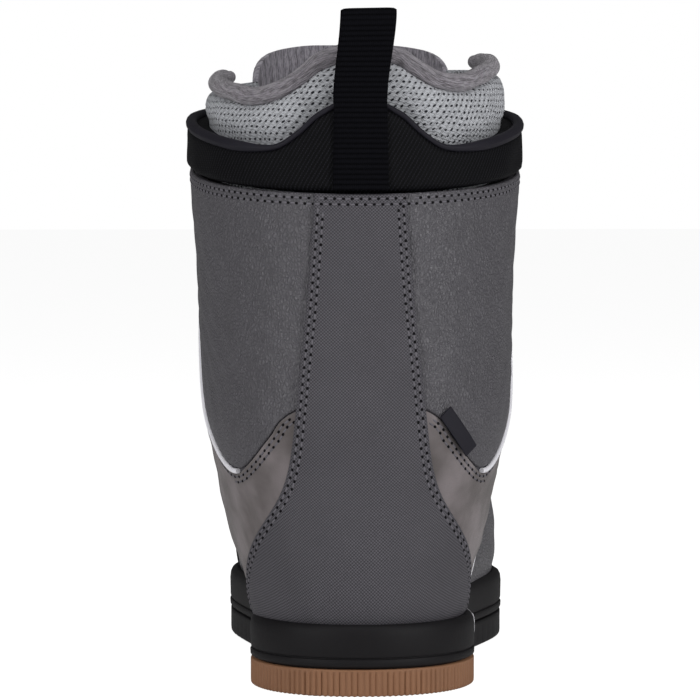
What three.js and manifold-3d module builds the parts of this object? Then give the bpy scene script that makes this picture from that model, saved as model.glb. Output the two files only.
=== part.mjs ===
// A right-foot snowboard boot: gum-rubber treads under a black cupsole, a leather and woven-fabric
// shell, a padded collar with a pull loop, a hinged tongue that carries a lace-winding dial, and a
// separate liner. Millimetres, +Z up, +Y towards the toe, +X towards the outer side of the foot.
//
// Every soft layer is cut from one boot surface, so the layers nest. An offset is a distance in
// millimetres from that surface: above 0 is outside it and below 0 is inside it.
import * as THREE from "three";
import { mergeVertices } from "three/addons/utils/BufferGeometryUtils.js";
import { LoftGeometry } from "three/addons/geometries/LoftGeometry.js";
import Module from "manifold-3d";

const wasm = await Module();
wasm.setup();

// ---- Driving dimensions -------------------------------------------------------------------------
const SOLE_LENGTH = 310;
const HEEL_WIDTH = 95;
const WAIST_WIDTH = 84;
const BALL_WIDTH = 122;
const CUFF_WIDTH = 140; // across the shell at its rim
const RIM_HEIGHT = 205; // the shell's rim at the back, above the ground
const RIM_RISE = 17; // how much higher the rim is at the front
const TOE_BOX_HEIGHT = 84;
const THROAT_HEIGHT = 103; // where the tongue opening ends on the instep

const TREAD_THICKNESS = 11.2;
const OUTSOLE_TOP = 13.5;
const MIDSOLE_TOP = 29.5;
const HEEL_TREAD_LENGTH = 84;
const WAIST_LENGTH = 34; // the arch, where neither tread is

const GAP = 0.4; // between pieces that touch
const SHELL_THICKNESS = 2.2;
const COUNTER_THICKNESS = 1.4;
const COUNTER_TOP = 74;
const PADDING_THICKNESS = 3.6;
const SHANK_WIDTH = 26;
const FOOTBED_THICKNESS = 4;
const LINER_THICKNESS = 6;
const OVERLAY_THICKNESS = 1.3;
const COLLAR_BULGE = 2.4; // how far the collar stands outside the boot surface
const PIPING_DIAMETER = 1.8;
const PIPING_ABOVE_SOLE = 4.3; // where the front seam's piping starts
const COLLAR_PIPING_DIAMETER = 3.2;
const ROLL_DIAMETER = 7; // the soft roll along the liner's top edge

const COLLAR_HEIGHT = 39; // above the rim, at the back
const LINER_HEIGHT = 57; // above the rim, at the back
const LINER_LEAN = 4; // the liner stands this much higher on its outer side, and lower on its inner
const TONGUE_HEIGHT = 36; // above the rim's back, at the front
const LINER_TONGUE_HEIGHT = 61;

const THROAT_RADIUS = 23; // the rounded lower end of the tongue opening
const OPENING_HALF_WIDTH = 45; // of the tongue opening at the rim
const TONGUE_CLEARANCE = 1.6;
const EYESTAY_WIDTH = 19;

const WEBBING_WIDTH = 22;
const WEBBING_THICKNESS = 1.6;
const LOOP_HEIGHT = 76; // of the pull loop above the rim

const LACE_DIAMETER = 2.4;
const LACE_CLEARANCE = 0.4;
const LACE_TURN_RADIUS = 5.5;
const GUIDE_ROWS = 4;
const GUIDE_THICKNESS = 6.2;
const DIAL_RADIUS = 17.5;
const DIAL_BELOW_RIM_FRONT = 13; // the dial's centre under the rim's front
const HOUSING_HEIGHT = 9;
const KNOB_HEIGHT = 8;
const AXLE_RADIUS = 2;
const RUNNING_CLEARANCE = 0.3;

// ---- Places worked out from them ----------------------------------------------------------------
const OVERLAY_BOTTOM = GAP;
const OVERLAY_TOP = OVERLAY_BOTTOM + OVERLAY_THICKNESS;
const SECOND_BOTTOM = OVERLAY_TOP + GAP;
const SECOND_TOP = SECOND_BOTTOM + OVERLAY_THICKNESS;
const PADDING_TOP = -SHELL_THICKNESS - GAP;
const PADDING_BOTTOM = PADDING_TOP - PADDING_THICKNESS;
const LINER_TOP = PADDING_BOTTOM - GAP;
const LINER_BOTTOM = LINER_TOP - LINER_THICKNESS;
const CUPSOLE_BOTTOM = OUTSOLE_TOP + GAP;
const CUP_FLOOR = CUPSOLE_BOTTOM + 2.4; // the cupsole's floor, which the upper stands on
const FEATHER_Z = CUP_FLOOR + GAP; // the upper's lower edge
const SHANK_TOP = FEATHER_Z + 1.2;
const BOARD_TOP = SHANK_TOP + GAP + 2;
const UNDERFOOT = BOARD_TOP + GAP; // the lower edge of the padding and the liner
const SHAFT_Y = 0.28 * SOLE_LENGTH; // the shaft's middle, which the cuff's angles are taken about
const FRONT_RIM = RIM_HEIGHT + RIM_RISE;
const FAN_Y = 0.645 * SOLE_LENGTH; // the ankle's bend turns about this point, in front of the instep
const FAN_Z = THROAT_HEIGHT + 62;
const FAR = 400; // past the boot in every direction
const SIDES = { medial: -1, lateral: 1 };

// ---- Smooth functions ---------------------------------------------------------------------------
const clamp = (x, low, high) => Math.min(Math.max(x, low), high);
const radians = THREE.MathUtils.degToRad;
const smoothstep = (x, low, high) => THREE.MathUtils.smoothstep(x, low, high);

// The smooth curve y(x) through knots [x, y], held level beyond both ends.
function through(knots) {
  const slope = knots.map((_, i) => {
    const [before, after] = [knots[Math.max(i - 1, 0)], knots[Math.min(i + 1, knots.length - 1)]];
    return (after[1] - before[1]) / (after[0] - before[0]);
  });
  return (x) => {
    const t = clamp(x, knots[0][0], knots.at(-1)[0]);
    const i = clamp(knots.findIndex((k) => k[0] > t) - 1, 0, knots.length - 2);
    const at = t >= knots.at(-1)[0] ? knots.length - 2 : i;
    const [[x0, y0], [x1, y1]] = [knots[at], knots[at + 1]];
    const [w, u] = [x1 - x0, (t - x0) / (x1 - x0)];
    const [u2, u3] = [u * u, u * u * u];
    return (
      y0 * (2 * u3 - 3 * u2 + 1) + y1 * (3 * u2 - 2 * u3) +
      w * (slope[at] * (u3 - 2 * u2 + u) + slope[at + 1] * (u3 - u2))
    );
  };
}

const norm = (power, ...terms) =>
  terms.reduce((sum, t) => sum + Math.abs(t) ** power, 0) ** (1 / power);

function smoothMin(a, b, width) {
  const h = Math.max(width - Math.abs(a - b), 0) / width;
  return Math.min(a, b) - (h * h * width) / 4;
}

// ---- The boot surface ---------------------------------------------------------------------------
const HEEL = HEEL_WIDTH / 2;
const CUFF = CUFF_WIDTH / 2 - OVERLAY_TOP;
const TUCK_TOP = MIDSOLE_TOP + 14; // below this the upper tucks in towards the sole
const TUCK = 6; // at the feather line
const UNDERGROUND = -25; // the boot surface goes on down to here, and each solid is cut off above it
const SIDEWALL_TOP = 40; // above this the forefoot's sides curve over

const shaftHalfWidth = through(
  [[MIDSOLE_TOP, -0.23], [44, -0.11], [60, 0.16], [76, 0.365], [94, 0.52], [114, 0.69], [136, 0.775],
   [0.87 * RIM_HEIGHT, 0.88], [RIM_HEIGHT + 7, 1], [RIM_HEIGHT + 40, 0.99], [RIM_HEIGHT + 70, 0.9]]
    .map(([z, share]) => [z, HEEL + (CUFF - HEEL) * share]),
);
const backLine = through([
  [MIDSOLE_TOP, 6.5], [42, 5], [58, 5], [78, 8.5], [100, 13.5], [130, 17.5],
  [0.83 * RIM_HEIGHT, 18], [RIM_HEIGHT, 17], [RIM_HEIGHT + 40, 20], [RIM_HEIGHT + 75, 25],
]);
const shaftFront = through(
  [[MIDSOLE_TOP, 0.34], [60, 0.39], [100, 0.475], [130, 0.505], [0.8 * RIM_HEIGHT, 0.52],
   [RIM_HEIGHT, 0.532], [RIM_HEIGHT + 40, 0.537]].map(([z, share]) => [z, share * SOLE_LENGTH]),
);
const footHalfWidth = through(
  [[0.12, HEEL - 5], [0.4, WAIST_WIDTH / 2 - 1], [0.68, BALL_WIDTH / 2 - 4.5],
   [0.85, BALL_WIDTH / 2 - 8], [1, BALL_WIDTH / 2 - 13]].map(([s, w]) => [s * SOLE_LENGTH, w]),
);
const footCentre = through(
  [[0, 0], [0.4, 5], [0.66, 9.5], [0.85, 5.5], [1, 0]].map(([s, x]) => [s * SOLE_LENGTH, x]),
);
const instepHeight = through(
  [[0.48, THROAT_HEIGHT + 50], [0.53, THROAT_HEIGHT + 38], [0.58, THROAT_HEIGHT + 21],
   [0.63, THROAT_HEIGHT + 8], [0.68, THROAT_HEIGHT - 1], [0.77, TOE_BOX_HEIGHT + 8],
   [0.87, TOE_BOX_HEIGHT + 1], [1, TOE_BOX_HEIGHT - 4]].map(([s, z]) => [s * SOLE_LENGTH, z]),
);

// Below 0 inside the boot, 0 on its surface: a shaft and a foot, blended at the ankle.
function bootField(x, y, z) {
  const tuck = TUCK * (1 - clamp((z - FEATHER_Z) / (TUCK_TOP - FEATHER_Z), 0, 1)) ** 2;
  const [back, front] = [backLine(z) + tuck, shaftFront(z)];
  const [halfWidth, halfDepth] = [shaftHalfWidth(z) - tuck, (front - back) / 2];
  const shaft = norm(2.25, x / halfWidth, (y - back - halfDepth) / halfDepth) - 1;

  const toeStart = 0.7 * SOLE_LENGTH;
  const toeEnd = SOLE_LENGTH - 4 - tuck;
  const [width, height] = [footHalfWidth(y) - tuck, instepHeight(y) - SIDEWALL_TOP];
  const foot = norm(
    2.5,
    (x - footCentre(y)) / width,
    Math.max(z - SIDEWALL_TOP, 0) / height,
    (Math.max(y - toeStart, 0) / (toeEnd - toeStart)) ** 1.15,
    Math.max(0.22 * SOLE_LENGTH - y, 0) / (0.15 * SOLE_LENGTH),
  ) - 1;
  const blend = 5 + 33 * smoothstep(z, 60, THROAT_HEIGHT + 12);
  return smoothMin(shaft * Math.min(halfWidth, halfDepth), foot * Math.min(width, height), blend);
}

// Soft layers inside the forefoot are thinner than in the shaft.
function innerShare(y, z) {
  const forefoot = smoothstep(y, 0.36 * SOLE_LENGTH, 0.6 * SOLE_LENGTH);
  return 1 - 0.32 * forefoot * (1 - smoothstep(z, THROAT_HEIGHT, THROAT_HEIGHT + 45));
}

// The point at an offset from the boot surface, where the ray from origin meets it.
function surfacePoint(origin, direction, offset = 0) {
  const at = (t) => origin.clone().addScaledVector(direction, t);
  let [inside, outside] = [0, 0.9 * FAR];
  for (let i = 0; i < 34; i++) {
    const middle = (inside + outside) / 2;
    const p = at(middle);
    if (bootField(p.x, p.y, p.z) < 0) inside = middle;
    else outside = middle;
  }
  const p = at(inside);
  const normal = surfaceNormal(p);
  const share = offset < 0 ? innerShare(p.y, p.z) : 1;
  return { point: p.addScaledVector(normal, offset * share), normal };
}

function surfaceNormal({ x, y, z }) {
  const step = 0.5;
  return new THREE.Vector3(
    bootField(x + step, y, z) - bootField(x - step, y, z),
    bootField(x, y + step, z) - bootField(x, y - step, z),
    bootField(x, y, z + step) - bootField(x, y, z - step),
  ).normalize();
}

// Points on the surface: round the cuff (0 degrees at the back, 90 on the outer side), straight in
// front at a height, and on one side at a place in the side view.
const V = (x, y, z) => new THREE.Vector3(x, y, z);
function onCuff(degrees, z, offset) {
  const a = radians(degrees);
  return surfacePoint(V(0, SHAFT_Y, z), V(Math.sin(a), -Math.cos(a), 0), offset);
}
const onFront = (x, z, offset) => surfacePoint(V(x, SHAFT_Y, z), V(0, 1, 0), offset);
const onSide = (side, y, z, offset) => surfacePoint(V(0, y, z), V(side, 0, 0), offset);

// ---- Solids -------------------------------------------------------------------------------------
function solid(geometry) {
  const bare = new THREE.BufferGeometry().copy(geometry);
  bare.deleteAttribute("normal");
  bare.deleteAttribute("uv");
  const merged = mergeVertices(bare, 1e-3);
  return new wasm.Manifold(new wasm.Mesh({
    numProp: 3,
    vertProperties: merged.attributes.position.array,
    triVerts: new Uint32Array(merged.index.array),
  }));
}

const COARSENING = 0.08; // how far simplifying a cut solid may move its faces
const simpler = (manifold) => manifold.asOriginal().simplify(COARSENING);
const largestBody = (manifold) =>
  simpler(manifold).decompose().reduce((a, b) => (a.volume() > b.volume() ? a : b));

function geometryOf(manifold) {
  const mesh = manifold.getMesh();
  const vertices = new Float32Array(mesh.numVert * 3);
  for (let i = 0; i < mesh.numVert; i++)
    vertices.set(mesh.vertProperties.subarray(i * mesh.numProp, i * mesh.numProp + 3), i * 3);
  return new THREE.BufferGeometry()
    .setAttribute("position", new THREE.BufferAttribute(vertices, 3))
    .setIndex(new THREE.BufferAttribute(mesh.triVerts, 1));
}

// The section planes of the boot, from over the shaft, round the ankle and out to the toe. Each has
// a middle, the way its front points, and how far its rays lean towards the toe.
function sectionPlanes() {
  const planes = [FAR * 0.8, RIM_HEIGHT + 65, RIM_HEIGHT + 38, RIM_HEIGHT + 12, RIM_HEIGHT - 16]
    .filter((z) => z > FAN_Z + 8)
    .map((z) => ({ middle: V(0, SHAFT_Y, z), front: V(0, 1, 0), lean: 0 }));
  for (const degrees of [0, 8, 16, 24, 31, 36, 41, 50, 62, 76, 90]) {
    const front = V(0, Math.cos(radians(degrees)), Math.sin(radians(degrees)));
    const reach = FAN_Y - SHAFT_Y;
    planes.push({ middle: V(0, FAN_Y, FAN_Z).addScaledVector(front, -reach), front, lean: 0 });
  }
  const heart = FAN_Z - (FAN_Y - SHAFT_Y);
  for (const share of [0.7, 0.76])
    planes.push({ middle: V(0, share * SOLE_LENGTH, heart), front: V(0, 0, 1), lean: 0 });
  for (const lean of [24, 48, 70])
    planes.push({ middle: V(0, 0.76 * SOLE_LENGTH, heart), front: V(0, 0, 1), lean });
  return planes;
}

// The closed boot shape at an offset from its surface, flat underneath at floor.
const ROUND = 20; // points round each section
function bootSolid(offset, floor = FEATHER_Z) {
  const sections = sectionPlanes().map(({ middle, front, lean }) =>
    Array.from({ length: ROUND }, (_, i) => {
      const angle = (-2 * Math.PI * i) / ROUND;
      const ray = V(Math.sin(angle), 0, 0).addScaledVector(front, -Math.cos(angle));
      ray.multiplyScalar(Math.cos(radians(lean))).addScaledVector(V(0, 1, 0), Math.sin(radians(lean)));
      const { point } = surfacePoint(middle, ray, offset);
      if (point.z > UNDERGROUND) return point;
      return middle.clone().addScaledVector(ray, (UNDERGROUND - middle.z) / ray.z);
    }));
  const body = solid(new LoftGeometry(sections, { capStart: true, capEnd: true }));
  return body.trimByPlane([0, 0, 1], floor);
}

const layer = (bottom, top) =>
  bootSolid(top, FEATHER_Z).subtract(bootSolid(bottom, FEATHER_Z - 5));

// A shape in the side view (y, z), made solid right across the boot; the same from the front (x, z)
// between two places along it; and from above (x, y) between two heights.
const basis = (a, b, c) => new THREE.Matrix4().makeBasis(a, b, c);
const extruded = (shape, depth, curveSegments = 10) =>
  new THREE.ExtrudeGeometry(shape, { depth, curveSegments, bevelEnabled: false });
function acrossSide(shape, from = -FAR, to = FAR) {
  const turn = basis(V(0, 1, 0), V(0, 0, 1), V(1, 0, 0)).setPosition(from, 0, 0);
  return solid(extruded(shape, to - from).applyMatrix4(turn));
}
function acrossFront(shape, from, to) {
  const turn = basis(V(1, 0, 0), V(0, 0, 1), V(0, -1, 0)).setPosition(0, to, 0);
  return solid(extruded(shape, to - from).applyMatrix4(turn));
}
const acrossTop = (shape, from, to) => solid(extruded(shape, to - from).translate(0, 0, from));

const shapeOf = (points) => new THREE.Shape(points.map(([a, b]) => new THREE.Vector2(a, b)));
const boxShape = (a0, b0, a1, b1) => shapeOf([[a0, b0], [a1, b0], [a1, b1], [a0, b1]]);

// All that is below a height that varies round the cuff.
function below(height) {
  const steps = 60;
  const ring = (radius, z) =>
    Array.from({ length: steps }, (_, i) => {
      const a = (-2 * Math.PI * i) / steps;
      const degrees = (360 / steps) * Math.min(i, steps - i);
      const side = i > steps / 2 ? 1 : -1;
      return V(Math.sin(a) * radius, -Math.cos(a) * radius, z(degrees, side));
    });
  const hub = ring(20, (degrees, side) => height(degrees, side) + 5); // stands clear, so that its cap faces up
  const sections = [0.4 * CUFF_WIDTH, 0.53 * CUFF_WIDTH, FAR].map((radius) => ring(radius, height));
  sections.unshift(hub);
  sections.push(ring(FAR, () => -FAR));
  return solid(new LoftGeometry(sections, { capStart: true, capEnd: true })).translate([0, SHAFT_Y, 0]);
}

// ---- Lines that pieces share --------------------------------------------------------------------
// The backstay is narrow up the shaft and spreads over the heel: half its angle at each height.
const backstayAngle = through([
  [20, 57], [30, 55], [45, 46], [59, 37], [80, 25.5], [100, 21], [135, 19], [170, 17], [RIM_HEIGHT, 15.3],
]);
const rimHeight = (degrees) => RIM_HEIGHT + (RIM_RISE * (1 - Math.cos(radians(degrees)))) / 2;
const heartLine = through([
  [-14, 32.5], [0, 39], [14, 32.5], [21, 25], [28, 19.5], [36, 18.5], [48, 20], [64, 23.2], [90, 28],
  [135, 33], [180, 36],
]);
const collarTop = (degrees) => RIM_HEIGHT + (heartLine(degrees) * COLLAR_HEIGHT) / 39;
const linerLine = through([
  [-16, 53], [0, 57], [16, 53], [22, 48.5], [32, 42.5], [46, 40], [60, 42.2], [90, 46], [120, 48], [180, 50],
]);
const linerTop = (degrees, side) =>
  RIM_HEIGHT + (linerLine(degrees) * LINER_HEIGHT) / 57 + side * LINER_LEAN * Math.sin(radians(degrees));

// The tongue opening from the front: straight sides that spread upwards from a round throat.
function openingShape(inset) {
  const radius = THROAT_RADIUS - inset;
  const centre = THROAT_HEIGHT + THROAT_RADIUS;
  const halfTop = openingHalfWidth(FAR) - inset;
  const shape = new THREE.Shape();
  shape.moveTo(-halfTop, FAR);
  shape.lineTo(-radius, centre);
  shape.absarc(0, centre, radius, Math.PI, 2 * Math.PI, false);
  shape.lineTo(halfTop, FAR);
  return shape;
}
function openingHalfWidth(z) {
  const start = THROAT_HEIGHT + THROAT_RADIUS;
  return THROAT_RADIUS + ((OPENING_HALF_WIDTH - THROAT_RADIUS) * (z - start)) / (FRONT_RIM - start);
}
const opening = (inset) => acrossFront(openingShape(inset), SHAFT_Y + 12, FAR);

// The ankle band's edges in the side view, as shares of the sole's length and heights.
const spline = (points) => new THREE.SplineCurve(points.map(([y, z]) => new THREE.Vector2(y, z)));
const bandTop = [
  [-0.05, 150], [0.041, 118.5], [0.063, 105], [0.088, 95], [0.116, 90], [0.15, 93], [0.19, 101.5],
  [0.24, 116], [0.3, 139], [0.36, 162], [0.42, 184], [0.47, 205],
].map(([s, z]) => [s * SOLE_LENGTH, z]);
const bandFront = [
  [0.455, 5], [0.47, 24], [0.495, 38], [0.53, 50], [0.57, 63], [0.615, 79], [0.66, 92], [0.72, 101],
  [0.8, 106],
].map(([s, z]) => [s * SOLE_LENGTH, z]);
const shifted = (points, dy, dz) => points.map(([y, z]) => [y + dy, z + dz]);
const SEAM = PIPING_DIAMETER / 2 + GAP; // half the seam that a piping lies in

// The region under (or over) a curve in the side view, closed through far corners.
function regionBy(points, ...corners) {
  const outline = spline(points).getPoints(28).map((p) => [p.x, p.y]);
  return acrossSide(shapeOf([...outline, ...corners]));
}
const overBandTop = (gap) =>
  regionBy(shifted(bandTop, 0, 1.25 * gap), [FAR, 215], [FAR, FAR], [-FAR, FAR], [-FAR, 160]);
const inFrontOfBand = (gap) =>
  regionBy(shifted(bandFront, gap, -gap), [FAR, 108], [FAR, -FAR], [0.43 * SOLE_LENGTH + gap, -FAR]);

// ---- Sole outline -------------------------------------------------------------------------------
const soleHalfWidth = through(
  [[0.14, HEEL], [0.4, WAIST_WIDTH / 2], [0.68, BALL_WIDTH / 2], [0.85, BALL_WIDTH / 2 - 3],
   [1, BALL_WIDTH / 2 - 8]].map(([s, w]) => [s * SOLE_LENGTH, w]),
);
const HEEL_ROUND = 0.18 * SOLE_LENGTH;
const TOE_ROUND = 0.3 * SOLE_LENGTH;
function soleShape(inset = 0, pointsPerSide = 26) {
  const side = (sign) =>
    Array.from({ length: pointsPerSide }, (_, i) => {
      const t = (1 - Math.cos((Math.PI * i) / (pointsPerSide - 1))) / 2;
      const y = inset + t * (SOLE_LENGTH - 2 * inset);
      const heel = Math.max(HEEL_ROUND - y, 0) / (HEEL_ROUND - inset);
      const toe = Math.max(y - SOLE_LENGTH + TOE_ROUND, 0) / (TOE_ROUND - inset);
      const caps = Math.max(0, 1 - heel ** 2.3) ** (1 / 2.1) * Math.max(0, 1 - toe ** 2.5) ** (1 / 2.2);
      return [footCentre(y) + sign * (soleHalfWidth(y) - inset) * caps, y];
    });
  return shapeOf([...side(1), ...side(-1).slice(1, -1).reverse()]);
}

// ---- Materials ----------------------------------------------------------------------------------
const finish = (color, roughness, metalness = 0) =>
  new THREE.MeshStandardMaterial({ color, roughness, metalness });
const LOOKS = {
  gum_rubber: finish(0x8a6549, 0.6),
  black_rubber: finish(0x1d1c21, 0.55),
  leather: finish(0x55545a, 0.5),
  suede: finish(0x6c6763, 0.9),
  woven: finish(0x3f3e46, 0.75),
  piping_white: finish(0xe6e4ee, 0.5),
  black_mesh: finish(0x141318, 0.95),
  black_trim: finish(0x1c1a22, 0.8),
  webbing: finish(0x0c0b10, 0.85),
  liner_mesh: finish(0x8b9195, 0.95),
  liner_jersey: finish(0x625e66, 0.95),
  foam: finish(0x2b2b30, 0.95),
  board: finish(0x3a352f, 0.9),
  steel: finish(0xb9bcc2, 0.3, 1),
  plastic: finish(0x1a1a1e, 0.45),
  lace: finish(0x8d9096, 0.5),
};

const boot = new THREE.Group();
function add(name, look, shape, parent = boot) {
  const geometry = shape.isBufferGeometry ? shape : geometryOf(simpler(shape));
  const mesh = new THREE.Mesh(geometry, LOOKS[look]);
  mesh.name = name;
  parent.add(mesh);
  return mesh;
}

// A round cord along a route. It takes its steps at the route's own points, so bends stay round.
class Route extends THREE.CatmullRomCurve3 {
  constructor(points) {
    super(points, false, "centripetal");
  }
  getPointAt(t, target) {
    return this.getPoint(t, target);
  }
  getTangentAt(t, target) {
    return this.getTangent(t, target);
  }
}
const circle = (radius, corners) =>
  shapeOf(Array.from({ length: corners }, (_, i) => {
    const a = (2 * Math.PI * i) / corners;
    return [radius * Math.cos(a), radius * Math.sin(a)];
  }));
const cordAlong = (points, diameter, corners) =>
  new THREE.ExtrudeGeometry(circle(diameter / 2, corners), {
    steps: points.length - 1,
    extrudePath: new Route(points),
    bevelEnabled: false,
  });

// ---- Sole ---------------------------------------------------------------------------------------
const BEVEL = 2.2;
function bevelledSole(inset, from, to) {
  const depth = to - from - BEVEL;
  const geometry = new THREE.ExtrudeGeometry(soleShape(inset), {
    depth, bevelEnabled: true, bevelThickness: BEVEL, bevelSize: BEVEL, bevelOffset: -BEVEL, bevelSegments: 2,
  });
  const body = solid(geometry.translate(0, 0, from + BEVEL));
  return body.intersect(acrossSide(boxShape(-FAR, from - 1, FAR, to)));
}

function sole() {
  const heelEnd = HEEL_TREAD_LENGTH;
  const foreStart = heelEnd + WAIST_LENGTH;
  const pad = bevelledSole(0.3, 0, TREAD_THICKNESS);
  add("heel_tread", "gum_rubber", pad.intersect(acrossSide(boxShape(-5, -1, heelEnd, FAR))));
  add("forefoot_tread", "black_rubber", pad.intersect(acrossSide(boxShape(foreStart, -1, FAR, FAR))));

  // The black outsole lies over both treads and comes down between them, short of the ground.
  const plate = acrossTop(soleShape(0.6), TREAD_THICKNESS + GAP, OUTSOLE_TOP);
  const arch = acrossTop(soleShape(3), 4, OUTSOLE_TOP)
    .intersect(acrossSide(boxShape(heelEnd + GAP, 0, foreStart - GAP, FAR)));
  add("outsole", "black_rubber", plate.add(arch));

  const cup = acrossTop(soleShape(0), CUPSOLE_BOTTOM, MIDSOLE_TOP);
  add("cupsole", "black_rubber", cup.subtract(bootSolid(GAP, CUP_FLOOR)));

  const half = SHANK_WIDTH / 2;
  const shank = boxShape(-half, 0.16 * SOLE_LENGTH, half, 0.56 * SOLE_LENGTH);
  add("shank", "steel", acrossTop(shank, FEATHER_Z, SHANK_TOP));
  const board = bootSolid(-SHELL_THICKNESS - GAP, SHANK_TOP + GAP);
  add("insole_board", "board", board.trimByPlane([0, 0, -1], -BOARD_TOP));
}

// A blank raised badge on the cupsole's outer side, bent to follow the wall.
function soleBadge() {
  const [length, height, thickness] = [34, 10, 1.1];
  const [y, z] = [0.25 * SOLE_LENGTH, (CUPSOLE_BOTTOM + MIDSOLE_TOP) / 2];
  const shape = new THREE.Shape();
  shape.absarc(y - (length - height) / 2, z, height / 2, Math.PI / 2, (3 * Math.PI) / 2, false);
  shape.absarc(y + (length - height) / 2, z, height / 2, -Math.PI / 2, Math.PI / 2, false);
  const band = acrossTop(soleShape(-GAP - thickness), 0, FAR).subtract(acrossTop(soleShape(-GAP), -1, FAR));
  add("sole_badge", "piping_white", band.intersect(acrossSide(shape, 0, FAR)));
}

// ---- Shell --------------------------------------------------------------------------------------
const rim = below(rimHeight);
const throat = opening(0);
const aboveSole = acrossSide(boxShape(-FAR, MIDSOLE_TOP + GAP, FAR, FAR));
const sideOf = (side) =>
  acrossFront(side < 0 ? boxShape(-FAR, -FAR, -GAP / 2, FAR) : boxShape(GAP / 2, -FAR, FAR, FAR), -FAR, FAR);

function shell() {
  const base = bootSolid(0).subtract(bootSolid(-SHELL_THICKNESS, FEATHER_Z - 5));
  add("shell", "leather", base.intersect(rim).subtract(throat));

  // The stiff counter cups the heel. Padding lines the shaft above it.
  const counter = acrossSide(boxShape(-FAR, UNDERFOOT, 0.26 * SOLE_LENGTH, COUNTER_TOP));
  add("heel_counter", "plastic", layer(PADDING_TOP - COUNTER_THICKNESS, PADDING_TOP).intersect(counter));
  const lined = acrossSide(shapeOf([
    [-FAR, COUNTER_TOP + GAP], [0.42 * SOLE_LENGTH, COUNTER_TOP + GAP], [FAR, FAR], [-FAR, FAR],
  ]));
  const padding = layer(PADDING_BOTTOM, PADDING_TOP).intersect(lined);
  add("shell_padding", "foam", padding.intersect(rim).subtract(throat));
}

// Where a curve that rises reaches a height, as a share of its length in parameter.
function shareAtHeight(curve, height) {
  let [low, high] = [0, 1];
  for (let i = 0; i < 30; i++) {
    const middle = (low + high) / 2;
    if (curve.getPoint(middle).y < height) low = middle;
    else high = middle;
  }
  return low;
}

// Piping lies in the two seams of each ankle band; room is what it takes out of the panels.
function addPipings() {
  const under = bootSolid(GAP);
  const frontStart = shareAtHeight(spline(bandFront), MIDSOLE_TOP + PIPING_ABOVE_SOLE);
  let room = null;
  for (const [name, side] of Object.entries(SIDES))
    for (const [seam, points, from, to] of [["cuff", bandTop, 0.36, 0.87], ["band", bandFront, frontStart, 0.72]]) {
      const curve = spline(points);
      const route = Array.from({ length: 13 }, (_, i) => {
        const { x: y, y: z } = curve.getPoint(from + ((to - from) * i) / 12);
        return onSide(side, y, z, OVERLAY_TOP).point;
      });
      add(`piping_${seam}_${name}`, "piping_white", solid(cordAlong(route, PIPING_DIAMETER, 6)).subtract(under));
      const wide = solid(cordAlong(route, PIPING_DIAMETER + 2 * GAP, 6));
      room = room ? room.add(wide) : wide;
    }
  return room;
}

// The panels sewn on the shell, with the piping's seams between them.
function panels(pipingRoom) {
  const skin = layer(OVERLAY_BOTTOM, OVERLAY_TOP).intersect(aboveSole).intersect(rim)
    .subtract(throat).subtract(pipingRoom);
  const bumperTop = MIDSOLE_TOP + 15;
  const bumper = (gap) => acrossSide(boxShape(0.74 * SOLE_LENGTH - gap, 0, FAR, bumperTop + gap));
  const toe = (gap) => regionBy(
    [[0.835, 0], [0.825, 45], [0.775, 110]].map(([y, z]) => [y * SOLE_LENGTH + gap, z]),
    [0.775 * SOLE_LENGTH + gap, FAR], [FAR, FAR], [FAR, 0]);
  const front = skin.intersect(inFrontOfBand(SEAM)).subtract(overBandTop(-SEAM)).subtract(bumper(GAP));
  add("toe_cap", "woven", front.intersect(toe(GAP / 2)));
  add("vamp", "leather", front.subtract(toe(-GAP / 2)));
  const toeBumper = layer(OVERLAY_BOTTOM, OVERLAY_TOP + 0.8).intersect(bumper(0)).intersect(aboveSole);
  add("toe_bumper", "black_rubber", toeBumper);

  const band = skin.subtract(inFrontOfBand(-SEAM)).subtract(overBandTop(-SEAM));
  const quarter = skin.intersect(overBandTop(SEAM));
  for (const [name, side] of Object.entries(SIDES)) {
    add(`ankle_band_${name}`, "suede", band.intersect(sideOf(side)));
    add(`cuff_quarter_${name}`, "leather", quarter.intersect(sideOf(side)));
  }
}

// The backstay and the two eyestays lie over the panels.
function reinforcements() {
  const second = layer(SECOND_BOTTOM, SECOND_TOP).intersect(aboveSole).intersect(rim);
  add("backstay", "woven", second.intersect(behind(backstayAngle)));
  const eyestay = second.intersect(opening(-EYESTAY_WIDTH)).subtract(throat)
    .intersect(acrossSide(boxShape(-FAR, THROAT_HEIGHT - 14, FAR, FAR)));
  for (const [name, side] of Object.entries(SIDES))
    add(`eyestay_${name}`, "woven", eyestay.intersect(sideOf(side)));
}

// Everything behind the shaft's middle within an angle that varies with height.
function behind(angle) {
  const radii = [0.45 * CUFF_WIDTH, 0.62 * CUFF_WIDTH, FAR];
  const heights = Array.from({ length: 15 }, (_, i) => 14 * i);
  const sections = [...heights, FAR].map((z) => {
    const a = radians(angle(z));
    const edge = (side) => radii.map((r) => V(side * r * Math.sin(a), SHAFT_Y - r * Math.cos(a), z));
    return [V(0, SHAFT_Y, z), ...edge(-1), V(0, SHAFT_Y - FAR, z), ...edge(1).reverse()];
  });
  return solid(new LoftGeometry(sections, { capStart: true, capEnd: true }));
}

// ---- Collar, pull loop and label ----------------------------------------------------------------
const COLLAR_REACH = 134; // degrees round each side from the back, where the collar ends
function cuffRoute(reach, height, offset, count = 36) {
  return Array.from({ length: count }, (_, i) => {
    const degrees = -reach + (2 * reach * i) / (count - 1);
    return onCuff(degrees, height(Math.abs(degrees), Math.sign(degrees)), offset).point;
  });
}

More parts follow.
